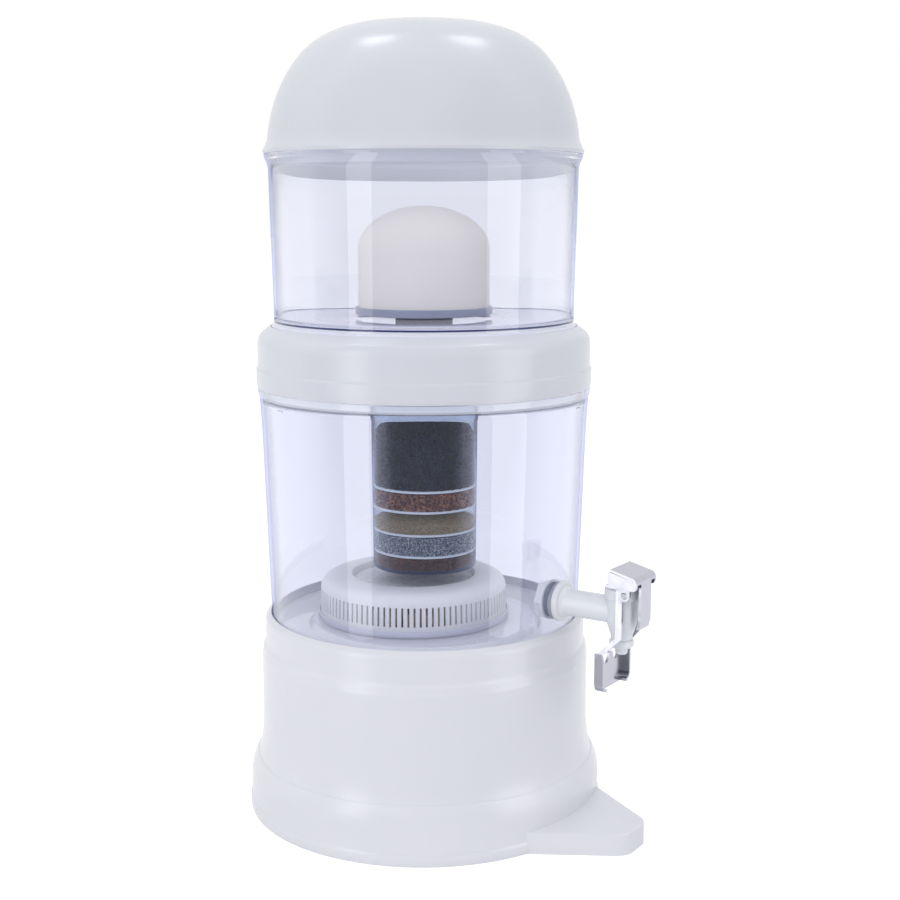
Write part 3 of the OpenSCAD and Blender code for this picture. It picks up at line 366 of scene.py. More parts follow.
foot_r = 140.3
skirt_r, shoulder_r, band_r, rim_r, bore_r = 139.0, 134.0, 129.0, 126.0, 121.3
stand_h, deck_z, deck_t, deck_hole_r, stand_wall = 156.8, 142.0, 3.0, 70.0, 3.0
rib_count, rib_t, rib_depth, ledge = 12, 2.5, 30.0, 0.8
stand_line = [
    (foot_r - 2, 0), (foot_r - 0.5, 0.4), (foot_r, 2), (foot_r, 7.6), (foot_r - 0.3, 8.4),
    (skirt_r + 0.2, 9.2), (skirt_r, 10), (skirt_r, 24),
    *bend((skirt_r, 24), (skirt_r, 36), (shoulder_r, 43.7), 12), (shoulder_r - ledge, 43.7 + ledge / 2),
    *bend((shoulder_r - ledge, 43.7 + ledge), (band_r + 0.5, 52), (band_r, 77), 14),
    (band_r, 123.5), *bend((band_r, 123.5), (band_r, 125.3), (128.5, 126.2), 4),
    (128.1, 129.6), *bend((128.1, 129.6), (127.6, 131.2), (126.8, 132.2), 4),
    (rim_r + 0.1, 133.2), (rim_r, 134.5),
    (rim_r, 149.8), *bend((rim_r, 149.8), (rim_r, 153.4), (rim_r - 1.5, 154.3), 6),
    (bore_r + 0.9, 156.5), (bore_r + 0.5, stand_h), (bore_r + 0.1, stand_h - 0.15), (bore_r, stand_h - 0.6)]
deck_under, hem_low, foot_in = deck_z - deck_t, deck_z - deck_t - rib_depth / 3, foot_r - stand_wall
outer_wall = [p for p in stand_line if 9.5 < p[1] < deck_under - 1 and p[0] > 125]
inner_wall = [*shifted(outer_wall, -stand_wall)[::-1], (foot_in, 7.5), (foot_in, 0)]
stand_shell = turned([*stand_line, (bore_r, deck_z), (deck_hole_r, deck_z), (deck_hole_r, hem_low),
                      (deck_hole_r + rib_t, hem_low), (deck_hole_r + rib_t, deck_under),
                      (inner_wall[0][0], deck_under), *inner_wall], 360)

rest_reach, rest_h, rest_corner_r, rest_tip_w = 192.0, 16.5, 15.0, 14.0
rest_root_w, rest_root_y = 108.0, 128.0
rest_in_skirt_r, rest_hollow_r, rest_edge, below = 137.6, 130, 0.9, -5


def rest_outline(inset, root_r):
    """The cup rest's outline, drawn in by inset and closed along an arc inside the skirt."""
    root = Vector((rest_root_w / 2, -rest_root_y))
    centre = Vector((rest_tip_w / 2, rest_corner_r - rest_reach))
    way = centre - root
    side = math.atan2(way.y, way.x) + math.asin(rest_corner_r / way.length)
    outward = Vector((math.sin(side), -math.cos(side)))
    if outward.x < 0:
        outward = -outward
    first = math.atan2(outward.y, outward.x)
    tip = [centre + (rest_corner_r - inset) * Vector((math.cos(a), math.sin(a)))
           for a in (first + (-math.pi / 2 - first) * i / 14 for i in range(15))]
    right = [root - inset * outward, *tip]
    side_end = math.atan2(right[0].y, right[0].x)
    across = [(root_r * math.cos(a), root_r * math.sin(a))
              for a in (-math.pi - side_end + (2 * side_end + math.pi) * i / 16 for i in range(1, 16))]
    return [*map(tuple, right), *((-x, y) for x, y in map(tuple, right[::-1])), *across][::-1]


rest_block = prism(rest_outline(0, rest_in_skirt_r), 0, rest_h, rest_edge)
rest_hollow = prism(rest_outline(stand_wall, rest_hollow_r), below, rest_h - stand_wall)
stand_mesh = combined(stand_shell, [rest_block], "UNION")
stand_mesh = combined(stand_mesh, [rest_hollow], "DIFFERENCE")
rib_in, rib_out, rib_top = deck_hole_r + rib_t / 2, rim_r - stand_wall + 1, deck_under + 1
stand_ribs = []
for i in range(rib_count):
    rib_line = [(rib_in, hem_low), (rib_out, deck_under - rib_depth), (rib_out, rib_top), (rib_in, rib_top)]
    rib = prism(rib_line, -rib_t / 2, rib_t / 2)
    round_axis = Matrix.Rotation(2 * math.pi * (i + 0.5) / rib_count, 4, "Z")
    rib.transform(round_axis @ Matrix.Rotation(math.pi / 2, 4, "X"))
    stand_ribs.append(rib)
stand_mesh = combined(stand_mesh, stand_ribs, "UNION")
piece("stand_moulding", stand_mesh, stand_white, "base", "white_plastic", "base_stand")

# --------------------------------------------------------------- lower tank
# The lower tank is moulded in clear SAN. It is all but colourless in a thin wall and goes
# lavender where the eye looks along it, at its sides, its bead and the edge of its floor.


def by_height(tree, place, stops):
    """A colour that follows the height: stops are (height in mm, colour)."""
    low, high = stops[0][0], stops[-1][0]
    height = add(tree, "SeparateXYZ", {0: place}).outputs["Z"]
    along = add(tree, "MapRange", {"Value": height, "From Min": low * MM, "From Max": high * MM})
    ramp = add(tree, "ValToRGB", {"Fac": along.outputs["Result"]})
    elements = ramp.color_ramp.elements
    elements[0].color, elements[1].color = stops[0][1], stops[-1][1]
    for z, colour in stops[1:-1]:
        elements.new((z - low) / (high - low)).color = colour
    return ramp.outputs["Color"]


def clear_plastic(name, tint, deep, depth, thick=()):
    """Clear moulded plastic: tint is one wall's colour, deep what a long way through it leaves.
    Thick lists (low, high, colour, clearness) for the heights in mm where it is a solid ring or
    floor, which scatters light and looks milky, and where a dark band is drawn in as painted shade."""
    material, tree, shader, place = start_material(name)
    for socket, value in {"Base Color": linear(tint), "Transmission Weight": 1.0, "IOR": 1.53,
                          "Roughness": 0.015}.items():
        shader.inputs[socket].default_value = value
    # The melt's flow leaves waves about this wide, and they make what it mirrors waver a little.
    flow_mm = 26
    flow = add(tree, "TexNoise", {"Vector": place, "Scale": 1 / (flow_mm * MM), "Detail": 1.0})
    relief = add(tree, "Bump", {"Height": flow.outputs["Fac"], "Strength": 0.12, "Distance": 0.4 * MM})
    tree.links.new(relief.outputs["Normal"], shader.inputs["Normal"])
    # Where the eye skims along a wall it stays pale, as a thin clear wall does.
    facing = add(tree, "LayerWeight", {"Blend": 0.5}).outputs["Facing"]
    skimmed = add(tree, "MapRange", {
        "Value": facing, "From Min": 0.64, "From Max": 0.94, "To Max": 0.88},
        interpolation_type="SMOOTHSTEP").outputs["Result"]
    if thick:
        clear, soft_mm = linear("#FFFFFF"), 0.25
        shares, colours = [(thick[0][0] - 1, clear)], [(thick[0][0] - 1, linear(tint))]
        # A band's colour is milky white where the solid plastic scatters light, and dark where a line of
        # painted shade is drawn in.
        for low, high, colour, cloudy in thick:
            heights = (low - soft_mm, low, high, high + soft_mm)
            milky, milky_and_painted_shade, plain = linear(cloudy), linear(colour), linear(tint)
            shares += zip(heights, (clear, milky, milky, clear))
            colours += zip(heights, (plain, milky_and_painted_shade, milky_and_painted_shade, plain))
        share = by_height(tree, place, [*shares, (thick[-1][1] + 1, clear)])
        tree.links.new(share, shader.inputs["Transmission Weight"])
        colour = by_height(tree, place, [*colours, (thick[-1][1] + 1, linear(tint))])
        tree.links.new(colour, shader.inputs["Base Color"])
        skimmed = add(tree, "Math", {0: skimmed, 1: share}, operation="MULTIPLY").outputs[0]
    through = add(tree, "Mix", {"Factor": skimmed, "A": linear("#FFFFFF"), "B": linear("#DDE2F6")},
                  data_type="RGBA")
    passed = add(tree, "Math", {0: lit_path(tree), 1: skimmed}, operation="MAXIMUM")
    straight_on = add(tree, "BsdfTransparent", {"Color": through.outputs["Result"]})
    surface = add(tree, "MixShader", {
        0: passed.outputs[0], 1: shader.outputs[0], 2: straight_on.outputs[0]})
    inside = add(tree, "VolumeAbsorption", {"Color": linear(deep), "Density": depth})
    output = tree.nodes["Material Output"]
    tree.links.new(surface.outputs[0], output.inputs["Surface"])
    tree.links.new(inside.outputs[0], output.inputs["Volume"])
    return material


low_z = deck_z
low_r, low_mid_r, low_top_r, bead_r, neck_r = 120.9, 125.3, 127.2, 128.4, 125.3
low_h, bead_h, neck_h, tank_wall = 193.0, 5.0, 17.0, 2.5
floor_t, floor_rise, floor_step_r = 3.5, 4.5, 89.0
low_corner_h, low_mid_h = 15.0, 0.78 * low_h
bead_z = low_z + low_h
low_slope = (low_mid_r - low_r) / (low_mid_h - low_corner_h)
low_bend_r = low_r + low_slope * (low_h - 25 - low_corner_h)


def raised(line, by):
    """A line in the radius-height plane, moved up."""
    return [(r, z + by) for r, z in line]


# The floor is drawn a hair above the deck that it stands on, so that the two don't flicker.
seat_film = 0.15
low_outer = raised([
    (0, floor_rise), (floor_step_r - 2, floor_rise), (floor_step_r + 2, seat_film),
    (low_r - 5, seat_film), *bend((low_r - 5, seat_film), (low_r, seat_film), (low_r, 5), 8),
    (low_r, low_corner_h), (low_mid_r, low_mid_h),
    *bend((low_mid_r, low_mid_h), (low_bend_r, low_h - 25), (low_top_r, low_h - bead_h - 3), 10),
    (bead_r - 0.5, low_h - bead_h - 0.8), (bead_r, low_h - bead_h), (bead_r, low_h - 0.6),
    (bead_r - 0.6, low_h), (neck_r + 0.4, low_h), (neck_r, low_h + 0.4),
    (neck_r, low_h + neck_h - 1), (neck_r - 0.8, low_h + neck_h)], low_z)
low_in_r, low_in_mid_r = low_r - tank_wall, low_mid_r - tank_wall
low_inner = raised([
    (neck_r - tank_wall, low_h + neck_h), (neck_r - tank_wall, low_h - 1),
    *bend((low_in_mid_r, low_mid_h), (low_bend_r - tank_wall, low_h - 25),
          (low_top_r - tank_wall, low_h - bead_h - 4), 10)[::-1],
    (low_in_mid_r, low_mid_h), (low_in_r, low_corner_h),
    *bend((low_in_r - 5, floor_t), (low_in_r, floor_t), (low_in_r, floor_t + 5), 8)[::-1],
    (low_in_r - 5, floor_t), (floor_step_r + 3, floor_t), (floor_step_r - 1, floor_rise + floor_t),
    (0, floor_rise + floor_t)], low_z)
low_mesh = turned(rounded([*low_outer, *low_inner], 0.7), 360)

tap_z, thread_r, loose_gap = 180.0, 8.0, 0.3


def along_shank(mesh):
    """A mesh turned round the upright axis, laid along the tap's shank instead."""
    mesh.transform(Matrix.Translation((0, 0, tap_z * MM)) @ Matrix.Rotation(math.pi / 2, 4, "X"))
    return mesh


def rod(radius, low, high, steps):
    """A plain rod on the upright axis, mostly to bore a hole with."""
    return turned([(0, low), (radius, low), (radius, high), (0, high)], steps)


hole = along_shank(rod(thread_r + loose_gap, 90, 140, 64))
low_mesh = combined(low_mesh, [hole], "DIFFERENCE")
lug_turn, lug_count, lug_w, lug_out, lug_in = 9.0, 3, 6.0, -low_top_r - 0.2, -low_top_r + 1.2
lug_low, lug_high, lug_edge = bead_z - bead_h - 7.2, bead_z - bead_h - 6, 0.3
lugs = []
for i in range(lug_count):
    lug = prism(oblong(-lug_w / 2, lug_out, lug_w / 2, lug_in), lug_low, lug_high, lug_edge)
    lug.transform(Matrix.Rotation(math.radians(lug_turn + i * 360 / lug_count), 4, "Z"))
    lugs.append(lug)
low_mesh = combined(low_mesh, lugs, "UNION")
clear_low = clear_plastic("clear_san_lower_tank", "#F3F5FE", "#5C64C8", 4.5,
                          [(low_z, low_z + floor_rise + floor_t - 0.3, "#F6F6FB", "#606060"),
                           (bead_z - bead_h - 1.6, bead_z + 0.6, "#F0F3FC", "#D0D0D0")])
piece("lower_tank_moulding", low_mesh, clear_low, "lower_tank", "clear_plastic", "lower_tank", crease=28)

# ------------------------------------------------------------- mineral case
# The case on the tank's floor holds mineral stones: a clear tray, and a cover of milky
# polypropylene with a skirt of fine slots and a grey filter pad sunk into its top.
case_shift, floor_z = 11.0, low_z + floor_rise + floor_t
tray_r, tray_t, tray_lip, case_r, case_h, case_wall = 76.0, 2.0, 5.5, 74.0, 34.0, 2.0
slot_count, slot_w, slot_h, pad_r, pad_drop = 100, 1.6, 15.0, 47.0, 6.0


def in_case_place(mesh):
    """A mesh turned round the upright axis, stood where the case stands on the tank's floor."""
    mesh.transform(Matrix.Translation((0, case_shift * MM, floor_z * MM)))
    return mesh


tray_outline = [(0, 0), (tray_r - 1, 0), (tray_r, 1), (tray_r, tray_lip), (tray_r - 1.2, tray_lip),
                (tray_r - 1.2, tray_t), (0, tray_t)]
clear_tray = clear_plastic("clear_san_tray", "#F4F5FD", "#5C64C8", 4.5,
                           [(floor_z - 0.5, floor_z + tray_lip + 0.5, "#E3E6F6", "#909090")])
piece("case_tray_moulding", in_case_place(turned(rounded(tray_outline, 0.5), 256)), clear_tray,
      "lower_tank", "clear_plastic", "case_tray", crease=28)


def mottled(name, spot_mm, detail, pale, dark, finish, relief=None):
    """A material that wavers between two shades, in spots of a real size. Finish gives the values
    of its surface, and relief how strongly and how far, in mm, it rises and falls."""
    material, tree, shader, place = start_material(name)
    spots = add(tree, "TexNoise", {"Vector": place, "Scale": 1 / (spot_mm * MM), "Detail": detail})
    shades = {"Factor": spots.outputs["Fac"], "A": linear(pale), "B": linear(dark)}
    colour = add(tree, "Mix", shades, data_type="RGBA")
    tree.links.new(colour.outputs["Result"], shader.inputs["Base Color"])
    for socket, value in finish.items():
        shader.inputs[socket].default_value = value
    if relief:
        strength, rise_mm = relief
        bump = add(tree, "Bump", {
            "Height": spots.outputs["Fac"], "Strength": strength, "Distance": rise_mm * MM})
        tree.links.new(bump.outputs["Normal"], shader.inputs["Normal"])
    return material


# The cover's milky polypropylene is pale and waxy, with faint clouds in it, and lets a good
# part of the light through each face.
cloud_mm, cover_lets_in = 9, 0.6
milky_pp = mottled("milky_polypropylene", cloud_mm, 3.0, "#F6F7FB", "#ECEEF5",
                   {"Roughness": 0.38, "IOR": 1.49}, (0.08, 0.3))
let_light_in(milky_pp.node_tree, milky_pp.node_tree.nodes["Principled BSDF"], cover_lets_in)

shoulder_drop = 9.5
skirt_top = case_h - shoulder_drop
slot_top = skirt_top - 1
slot_low = slot_top - slot_h
cover_outer = [(case_r, tray_t + loose_gap), (case_r, slot_low), (case_r - 0.35, slot_top),
               (case_r - 0.5, skirt_top),
               *bend((case_r - 0.5, skirt_top), (case_r - 1.5, case_h - 2), (case_r - 12, case_h - 0.5), 12),
               (pad_r + 8, case_h), (pad_r + 2.2, case_h - 0.3), (pad_r + 1.2, case_h - 1.4),
               (pad_r + loose_gap, case_h - pad_drop), (0, case_h - pad_drop)]
recess_r = pad_r + loose_gap + case_wall
cover_inner = [(0, case_h - pad_drop - case_wall), (recess_r, case_h - pad_drop - case_wall),
               (recess_r + 0.9, case_h - case_wall - 0.5), (pad_r + 8, case_h - case_wall),
               *bend((case_r - 12, case_h - case_wall - 0.5), (case_r - 3.4, case_h - 4),
                     (case_r - 0.5 - case_wall, skirt_top), 8),
               (case_r - 0.35 - case_wall, slot_top), (case_r - case_wall, slot_low),
               (case_r - case_wall, tray_t + loose_gap)]


def slotted(outline, low, high, count, width):
    """A turned mesh with a ring of slots from low to high through its upright wall."""
    made = bmesh.new()
    share = width / outline[1][0] * count / (2 * math.pi)
    angles = [2 * math.pi * (i + s) / count for i in range(count) for s in (-share / 2, share / 2, 0.5)]
    steps = len(angles)
    rows = [ring(made, r, z, angles) for r, z in outline]
    closed = zip(rows, rows[1:] + rows[:1], outline, outline[1:] + outline[:1])
    for low_row, high_row, (_, z0), (_, z1) in closed:
        through = abs(min(z0, z1) - low) < 1e-6 and abs(max(z0, z1) - high) < 1e-6
        for i in range(steps if len(low_row) + len(high_row) > 2 else 0):
            j = (i + 1) % steps
            if through and i % 3 == 0:
                continue
            corners = [low_row[i % len(low_row)], low_row[j % len(low_row)],
                       high_row[j % len(high_row)], high_row[i % len(high_row)]]
            made.faces.new(list(dict.fromkeys(corners)))
    sides = [row for row, (r, z) in zip(rows, outline) if abs(z - low) < 1e-6 or abs(z - high) < 1e-6]
    outer_low, outer_high, inner_high, inner_low = sides
    for i in range(0, steps, 3):
        for k in (i, i + 1):
            made.faces.new((outer_low[k], outer_high[k], inner_high[k], inner_low[k]))
        made.faces.new((outer_low[i], outer_low[i + 1], inner_low[i + 1], inner_low[i]))
        made.faces.new((outer_high[i], outer_high[i + 1], inner_high[i + 1], inner_high[i]))
    return finished(made)


cover_mesh = slotted([*cover_outer, *cover_inner], slot_low, slot_top, slot_count, slot_w)
piece("case_cover_moulding", in_case_place(cover_mesh), milky_pp, "lower_tank", "frosted_plastic",
      "case_cover", crease=40)

# The pad is pressed grey polyester fibre, so its face is matted and uneven. A real fibre is a
# twentieth of a millimetre thick and wouldn't show, so the strands are drawn coarser.
grey_fibre, tree, shader, place = start_material("pressed_grey_fibre")
strand_mm, clump_mm = 1.1, 5
strands = add(tree, "TexNoise", {
    "Vector": place, "Scale": 1 / (strand_mm * MM), "Detail": 4.0, "Roughness": 0.7})
clumps = add(tree, "TexVoronoi", {"Vector": place, "Scale": 1 / (clump_mm * MM)})
blotch = add(tree, "Math", {0: strands.outputs["Fac"], 1: clumps.outputs["Distance"]}, operation="ADD")
tone = add(tree, "ValToRGB", {"Fac": blotch.outputs[0]})
dark_tone, light_tone = tone.color_ramp.elements
dark_tone.position, dark_tone.color = 0.35, linear("#C6CAD8")
light_tone.position, light_tone.color = 1.15 / 1.2, linear("#EEF0F6")
tree.links.new(tone.outputs["Color"], shader.inputs["Base Color"])
shader.inputs["Roughness"].default_value = 0.9
relief = add(tree, "Bump", {"Height": strands.outputs["Fac"], "Strength": 0.7, "Distance": 0.4 * MM})
tree.links.new(relief.outputs["Normal"], shader.inputs["Normal"])


def matted(radius, low, high, ring_mm, lift_mm):
    """A round pad whose upper face dips here and there, by up to lift_mm, as pressed fibre does."""
    made = bmesh.new()
    steps, rings = 160, int(radius / ring_mm)
    waves_per_mm, flat_share, worn_edge = 0.35, 0.6, 0.5
    centre = made.verts.new((0, 0, high * MM))
    rows = []
    for k in range(1, rings + 1):
        r = radius * k / rings
        row = []
        for i in range(steps):
            a = 2 * math.pi * i / steps
            spot = Vector((r * math.cos(a), r * math.sin(a), 0))
            edge_drop = worn_edge if k == rings else 0.0
            lift = lift_mm * (noise.noise(spot * waves_per_mm) - flat_share)
            row.append(made.verts.new((spot.x * MM, spot.y * MM, (high + min(lift, 0) - edge_drop) * MM)))
        rows.append(row)
    rows.append([made.verts.new((v.co.x, v.co.y, low * MM)) for v in rows[-1]])
    for i in range(steps):
        j = (i + 1) % steps
        made.faces.new((centre, rows[0][i], rows[0][j]))
        for near, far in zip(rows, rows[1:]):
            made.faces.new((near[i], far[i], far[j], near[j]))
    made.faces.new(rows[-1][::-1])
    return finished(made)


pad_t, pad_ring_mm, pad_lift_mm, pad_low = 1.8, 1.6, 0.5, case_h - pad_drop
pad_mesh = matted(pad_r, pad_low, pad_low + pad_t, pad_ring_mm, pad_lift_mm)
piece("case_filter_pad", in_case_place(pad_mesh), grey_fibre, "lower_tank", "grey_mesh", "case_pad",
      crease=80)

# The stones are tumbled mineral balls, matt and clay coloured, and show only between the slots.


def dress(material, *nodes):
    """Gives small parts that keep their own meshes a material."""
    for node in nodes:
        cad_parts[node].data.materials[0] = material


vein_mm = 4
tumbled_stone = mottled("tumbled_mineral_stone", vein_mm, 5.0, "#B9ABA4", "#8F7F7B",
                        {"Roughness": 0.75}, (0.3, 0.3))
dress(tumbled_stone, "case_stones")

# ---------------------------------------------------------------------- tap
# The tap's shank, flange and upright body are one white acetal moulding, with a soft gloss. The
# shank goes through the tank's wall and is held by a nut inside, with a rubber on each side.
tap_white = moulded_white("moulded_acetal_tap", "#ECEEF2", "#E6E9EF", lets_through=0.4)
tap_y, flange_y, flange_r, flange_t = -175.6, low_r + 3.4, 15.5, 4.0
shank_r, body_r, chamber_r, waterway_r, seat_hole_r, front_flat = 10.0, 12.0, 8.0, 5.0, 4.0, 10.5
bonnet_z, bonnet_h, bonnet_r, screw_r, screw_h = tap_z + 10.2, 9.3, 13.0, 9.8, 3.0
taper_top, taper_low, neck_low, seat_z = tap_z - 7, tap_z - 17, tap_z - 20.6, tap_z - 8
nut_face, nut_t = low_r + low_slope * 23 - tank_wall - 4, 7.0
thread_in = nut_face - nut_t - 2


def upright(mesh):
    """A mesh turned round the upright axis, stood on the tap's own upright axis."""
    mesh.transform(Matrix.Translation((0, tap_y * MM, 0)))
    return mesh


shank_line = rounded([
    (0, thread_in), (thread_r, thread_in), (thread_r, flange_y), (flange_r, flange_y),
    (flange_r, flange_y + flange_t - 1), (flange_r - 2, flange_y + flange_t),
    (shank_r + 1.6, flange_y + flange_t), (shank_r, flange_y + flange_t + 3),
    (shank_r, -tap_y - 1), (0, -tap_y - 1)], 0.6)
body_line = rounded([
    (0, neck_low), (8, neck_low), (8, taper_low), (8.6, taper_low + 1), (body_r - 0.5, taper_top),
    (body_r, taper_top + 2), (body_r, bonnet_z), (screw_r, bonnet_z), (screw_r, bonnet_z + screw_h),
    (0, bonnet_z + screw_h)], 0.5)
tap_mesh = combined(upright(turned(body_line, 96)), [along_shank(turned(shank_line, 96))], "UNION")
flat = prism(oblong(-14, tap_y - 24, 14, tap_y - front_flat), neck_low - 2, bonnet_z + 1)
waterway = along_shank(rod(waterway_r, thread_in - 1, -tap_y - 3, 48))
chamber = upright(rod(chamber_r, seat_z, bonnet_z + 9, 64))
seat_hole = upright(rod(seat_hole_r, neck_low - 1, seat_z + 4, 48))
tap_mesh = combined(tap_mesh, [waterway, chamber, seat_hole, flat], "DIFFERENCE")
piece("tap_body_moulding", tap_mesh, tap_white, "lower_tank", "tap_plastic", "tap_body", crease=30)

valve_r, run_gap, pin_r = 2.0, 0.05, 1.5
pin_y, pin_z = tap_y - 9.1, tap_z + 16
bonnet_top = bonnet_z + bonnet_h
roof_z = bonnet_z + screw_h + 0.3
bonnet_line = rounded([
    (valve_r + run_gap, roof_z), (valve_r + run_gap, bonnet_top), (bonnet_r - 1.5, bonnet_top),
    (bonnet_r, bonnet_top - 1.5), (bonnet_r, bonnet_z), (screw_r + run_gap, bonnet_z),
    (screw_r + run_gap, roof_z)], 0.5)


def along_pin(mesh, x=0):
    """A mesh turned round the upright axis, laid along the lever's pin instead, from x on."""
    to_pin = Matrix.Translation((x * MM, pin_y * MM, pin_z * MM))
    mesh.transform(to_pin @ Matrix.Rotation(math.pi / 2, 4, "Y"))
    return mesh


pin_bore = along_pin(rod(pin_r + run_gap, -30, 30, 32))
bonnet_mesh = combined(upright(turned(bonnet_line, 96)), [pin_bore], "DIFFERENCE")
piece("tap_bonnet_moulding", bonnet_mesh, tap_white, "lower_tank", "tap_plastic", "tap_bonnet", crease=30)

ring_low, spout_low, nozzle_r, spout_r = tap_z - 26.8, tap_z - 32, 9.0, 4.5
nozzle_line = rounded([
    (spout_r - 1.5, spout_low), (spout_r - 0.6, spout_low), (spout_r, spout_low + 1),
    (spout_r, ring_low), (nozzle_r - 1.5, ring_low), (nozzle_r, ring_low + 1.5),
    (nozzle_r, neck_low - 1), (nozzle_r - 1, neck_low), (spout_r - 1.5, neck_low)], 0.45)
piece("tap_nozzle_moulding", upright(turned(nozzle_line, 96)), tap_white, "lower_tank", "tap_plastic",
      "tap_nozzle", crease=30)

# The rubber outside the wall is milky silicone, so light gets a little way into it.
cloud_mm = 3
milky_silicone = mottled("milky_silicone", cloud_mm, 2.0, "#C4C8D4", "#AEB3C2",
                         {"Roughness": 0.42, "IOR": 1.41, "Transmission Weight": 0.25})
dress(milky_silicone, "tap_outer_washer")

# The rubber inside is grey nitrile, dull, with the grain of its spark-worn mould. That grain is
# a tenth of a millimetre wide and is drawn coarser, so that it shows.
grain_mm = 0.8
grey_nitrile = mottled("grey_nitrile_rubber", grain_mm, 3.0, "#8E92A0", "#7A7E8C",
                       {"Roughness": 0.7}, (0.2, 0.1))
dress(grey_nitrile, "tap_inner_washer", "valve_seal", "dome_washer", "floor_washer", "cartridge_gasket")
dress(tap_white, "tap_nut", "dome_nut", "valve_stem")

# The spring is drawn stainless wire: bright, with fine marks along the wire, drawn coarser than
# the hundredths of a millimetre that they are. In the tap it is squashed as the valve's stem
# rises; this script draws it at one length.
drawn_steel, tree, shader, place = start_material("drawn_stainless_wire")
for socket, value in {"Base Color": linear("#B9BBC0"), "Metallic": 1.0}.items():
    shader.inputs[socket].default_value = value
draw_mm = 0.5
marks = add(tree, "TexNoise", {"Vector": place, "Scale": 1 / (draw_mm * MM), "Detail": 2.0})
wear = add(tree, "MapRange", {"Value": marks.outputs["Fac"], "To Min": 0.2, "To Max": 0.4})
tree.links.new(wear.outputs["Result"], shader.inputs["Roughness"])
dress(drawn_steel, "lever_pin")


def coil(radius, wire, low, high, turns):
    """A round wire wound into a spring from low to high."""
    made = bmesh.new()
    sides, steps = 12, 40 * turns
    rings = []
    for i in range(steps + 1):
        turn = 2 * math.pi * turns * i / steps
        z = low + wire + (high - low - 2 * wire) * i / steps
        section = []
        for k in range(sides):
            a = 2 * math.pi * k / sides
            r = (radius + wire * math.cos(a)) * MM
            section.append(made.verts.new((
                r * math.cos(turn), r * math.sin(turn), (z + wire * math.sin(a)) * MM)))
        rings.append(section)
    for one, two in zip(rings, rings[1:]):
        for k in range(sides):
            j = (k + 1) % sides
            made.faces.new((one[k], two[k], two[j], one[j]))
    made.faces.new(rings[0])
    made.faces.new(rings[-1][::-1])
    return finished(made)


spring_r, wire_r, spring_turns, stem_lift = 4.2, 0.6, 4, 1.7
spring_low, spring_high = seat_z + 5.4, roof_z - 0.1
spring = piece("tap_spring_coil", upright(coil(spring_r, wire_r, spring_low, spring_high, spring_turns)),
               drawn_steel, "lower_tank", "spring_steel", "tap_spring", crease=60)
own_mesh(spring)

# The lever is pressed from steel and chrome plated: a hood over the bonnet with a plate down
# its front, a fork under the stem's ball, and two kinked arms that carry the flanged paddle.
# Its plate is bright, with polishing marks finer than a hair that are drawn coarser, and the
# sheet below it is a little uneven, which bends what it mirrors.
bright_chrome, tree, shader, place = start_material("bright_chrome_plate")
for socket, value in {"Base Color": linear("#BFBFCA"), "Metallic": 1.0}.items():
    shader.inputs[socket].default_value = value
polish_mm, dent_mm = 1.5, 14
polish = add(tree, "TexNoise", {"Vector": place, "Scale": 1 / (polish_mm * MM), "Detail": 3.0})
smear = add(tree, "MapRange", {"Value": polish.outputs["Fac"], "To Min": 0.16, "To Max": 0.26})
tree.links.new(smear.outputs["Result"], shader.inputs["Roughness"])
dents = add(tree, "TexNoise", {"Vector": place, "Scale": 1 / (dent_mm * MM), "Detail": 1.0})
relief = add(tree, "Bump", {"Height": dents.outputs["Fac"], "Strength": 0.35, "Distance": 1.0 * MM})
tree.links.new(relief.outputs["Normal"], shader.inputs["Normal"])

metal_t, cheek_gap, arm_w, lug_r, flap_w, flap_drop = 2.0, 27.0, 5.0, 4.5, 16.0, 26.0
paddle_w, paddle_h, paddle_corner, paddle_flange = 44.0, 26.0, 7.0, 7.0
cheek_x, paddle_x = cheek_gap / 2, paddle_w / 2
hood_back_y, hood_front_y, hood_bend = tap_y + 3.9, tap_y - 19.1, 5.0
hood_back_z, hood_front_z = tap_z + 34, tap_z + 29.5
cheek_low, arm_y, arm_low = tap_z + 20, tap_y - 5.1, tap_z - 17
paddle_y, paddle_top, flare_z = tap_y + 10.4, tap_z - 32, tap_z - 29
paddle_low, flap_low = paddle_top - paddle_h, pin_z - flap_drop
fork_z, fork_t, fork_slot = bonnet_top + 1.2, 1.5, valve_r + 0.6
fork_x, fork_front_y, fork_back_y = cheek_x + 1, tap_y - 7.5, tap_y + 6.5


def plate(outline, x_low, x_high):
    """A plate cut to an outline in the depth-height plane, between two places along X."""
    mesh = prism(outline, x_low, x_high)
    mesh.transform(Matrix(((0, 0, 1, 0), (1, 0, 0, 0), (0, 1, 0, 0), (0, 0, 0, 1))))
    return mesh


hood_edge = (hood_front_y + hood_bend, hood_front_z + 0.6)
hood_line = [(hood_back_y, hood_back_z - 2), (hood_back_y - 0.4, hood_back_z - 0.6),
             (hood_back_y - 1.5, hood_back_z), hood_edge,
             *bend(hood_edge, (hood_front_y, hood_front_z), (hood_front_y, hood_front_z - hood_bend), 8)]
front_line = [hood_line[-1], (hood_front_y, flap_low + 6), (hood_front_y + 1.5, flap_low)]


def mirrored(mesh):
    """A copy of a mesh on the other side of the tap's plane."""
    other = mesh.copy()
    other.transform(Matrix.Diagonal((-1, 1, 1, 1)))
    other.flip_normals()
    return other


def slanted_bar(low_corner, high_corner, size):
    """A bar with a level rectangle at each end, from one corner to the other."""
    made = bmesh.new()
    ends = []
    for x, y, z in (low_corner, high_corner):
        ends.append([made.verts.new(((x + dx) * MM, (y + dy) * MM, z * MM))
                     for dx, dy in ((0, 0), (size[0], 0), (size[0], size[1]), (0, size[1]))])
    made.faces.new(ends[0][::-1])
    made.faces.new(ends[1])
    for i in range(4):
        made.faces.new((ends[0][i], ends[0][(i + 1) % 4], ends[1][(i + 1) % 4], ends[1][i]))
    return finished(made)


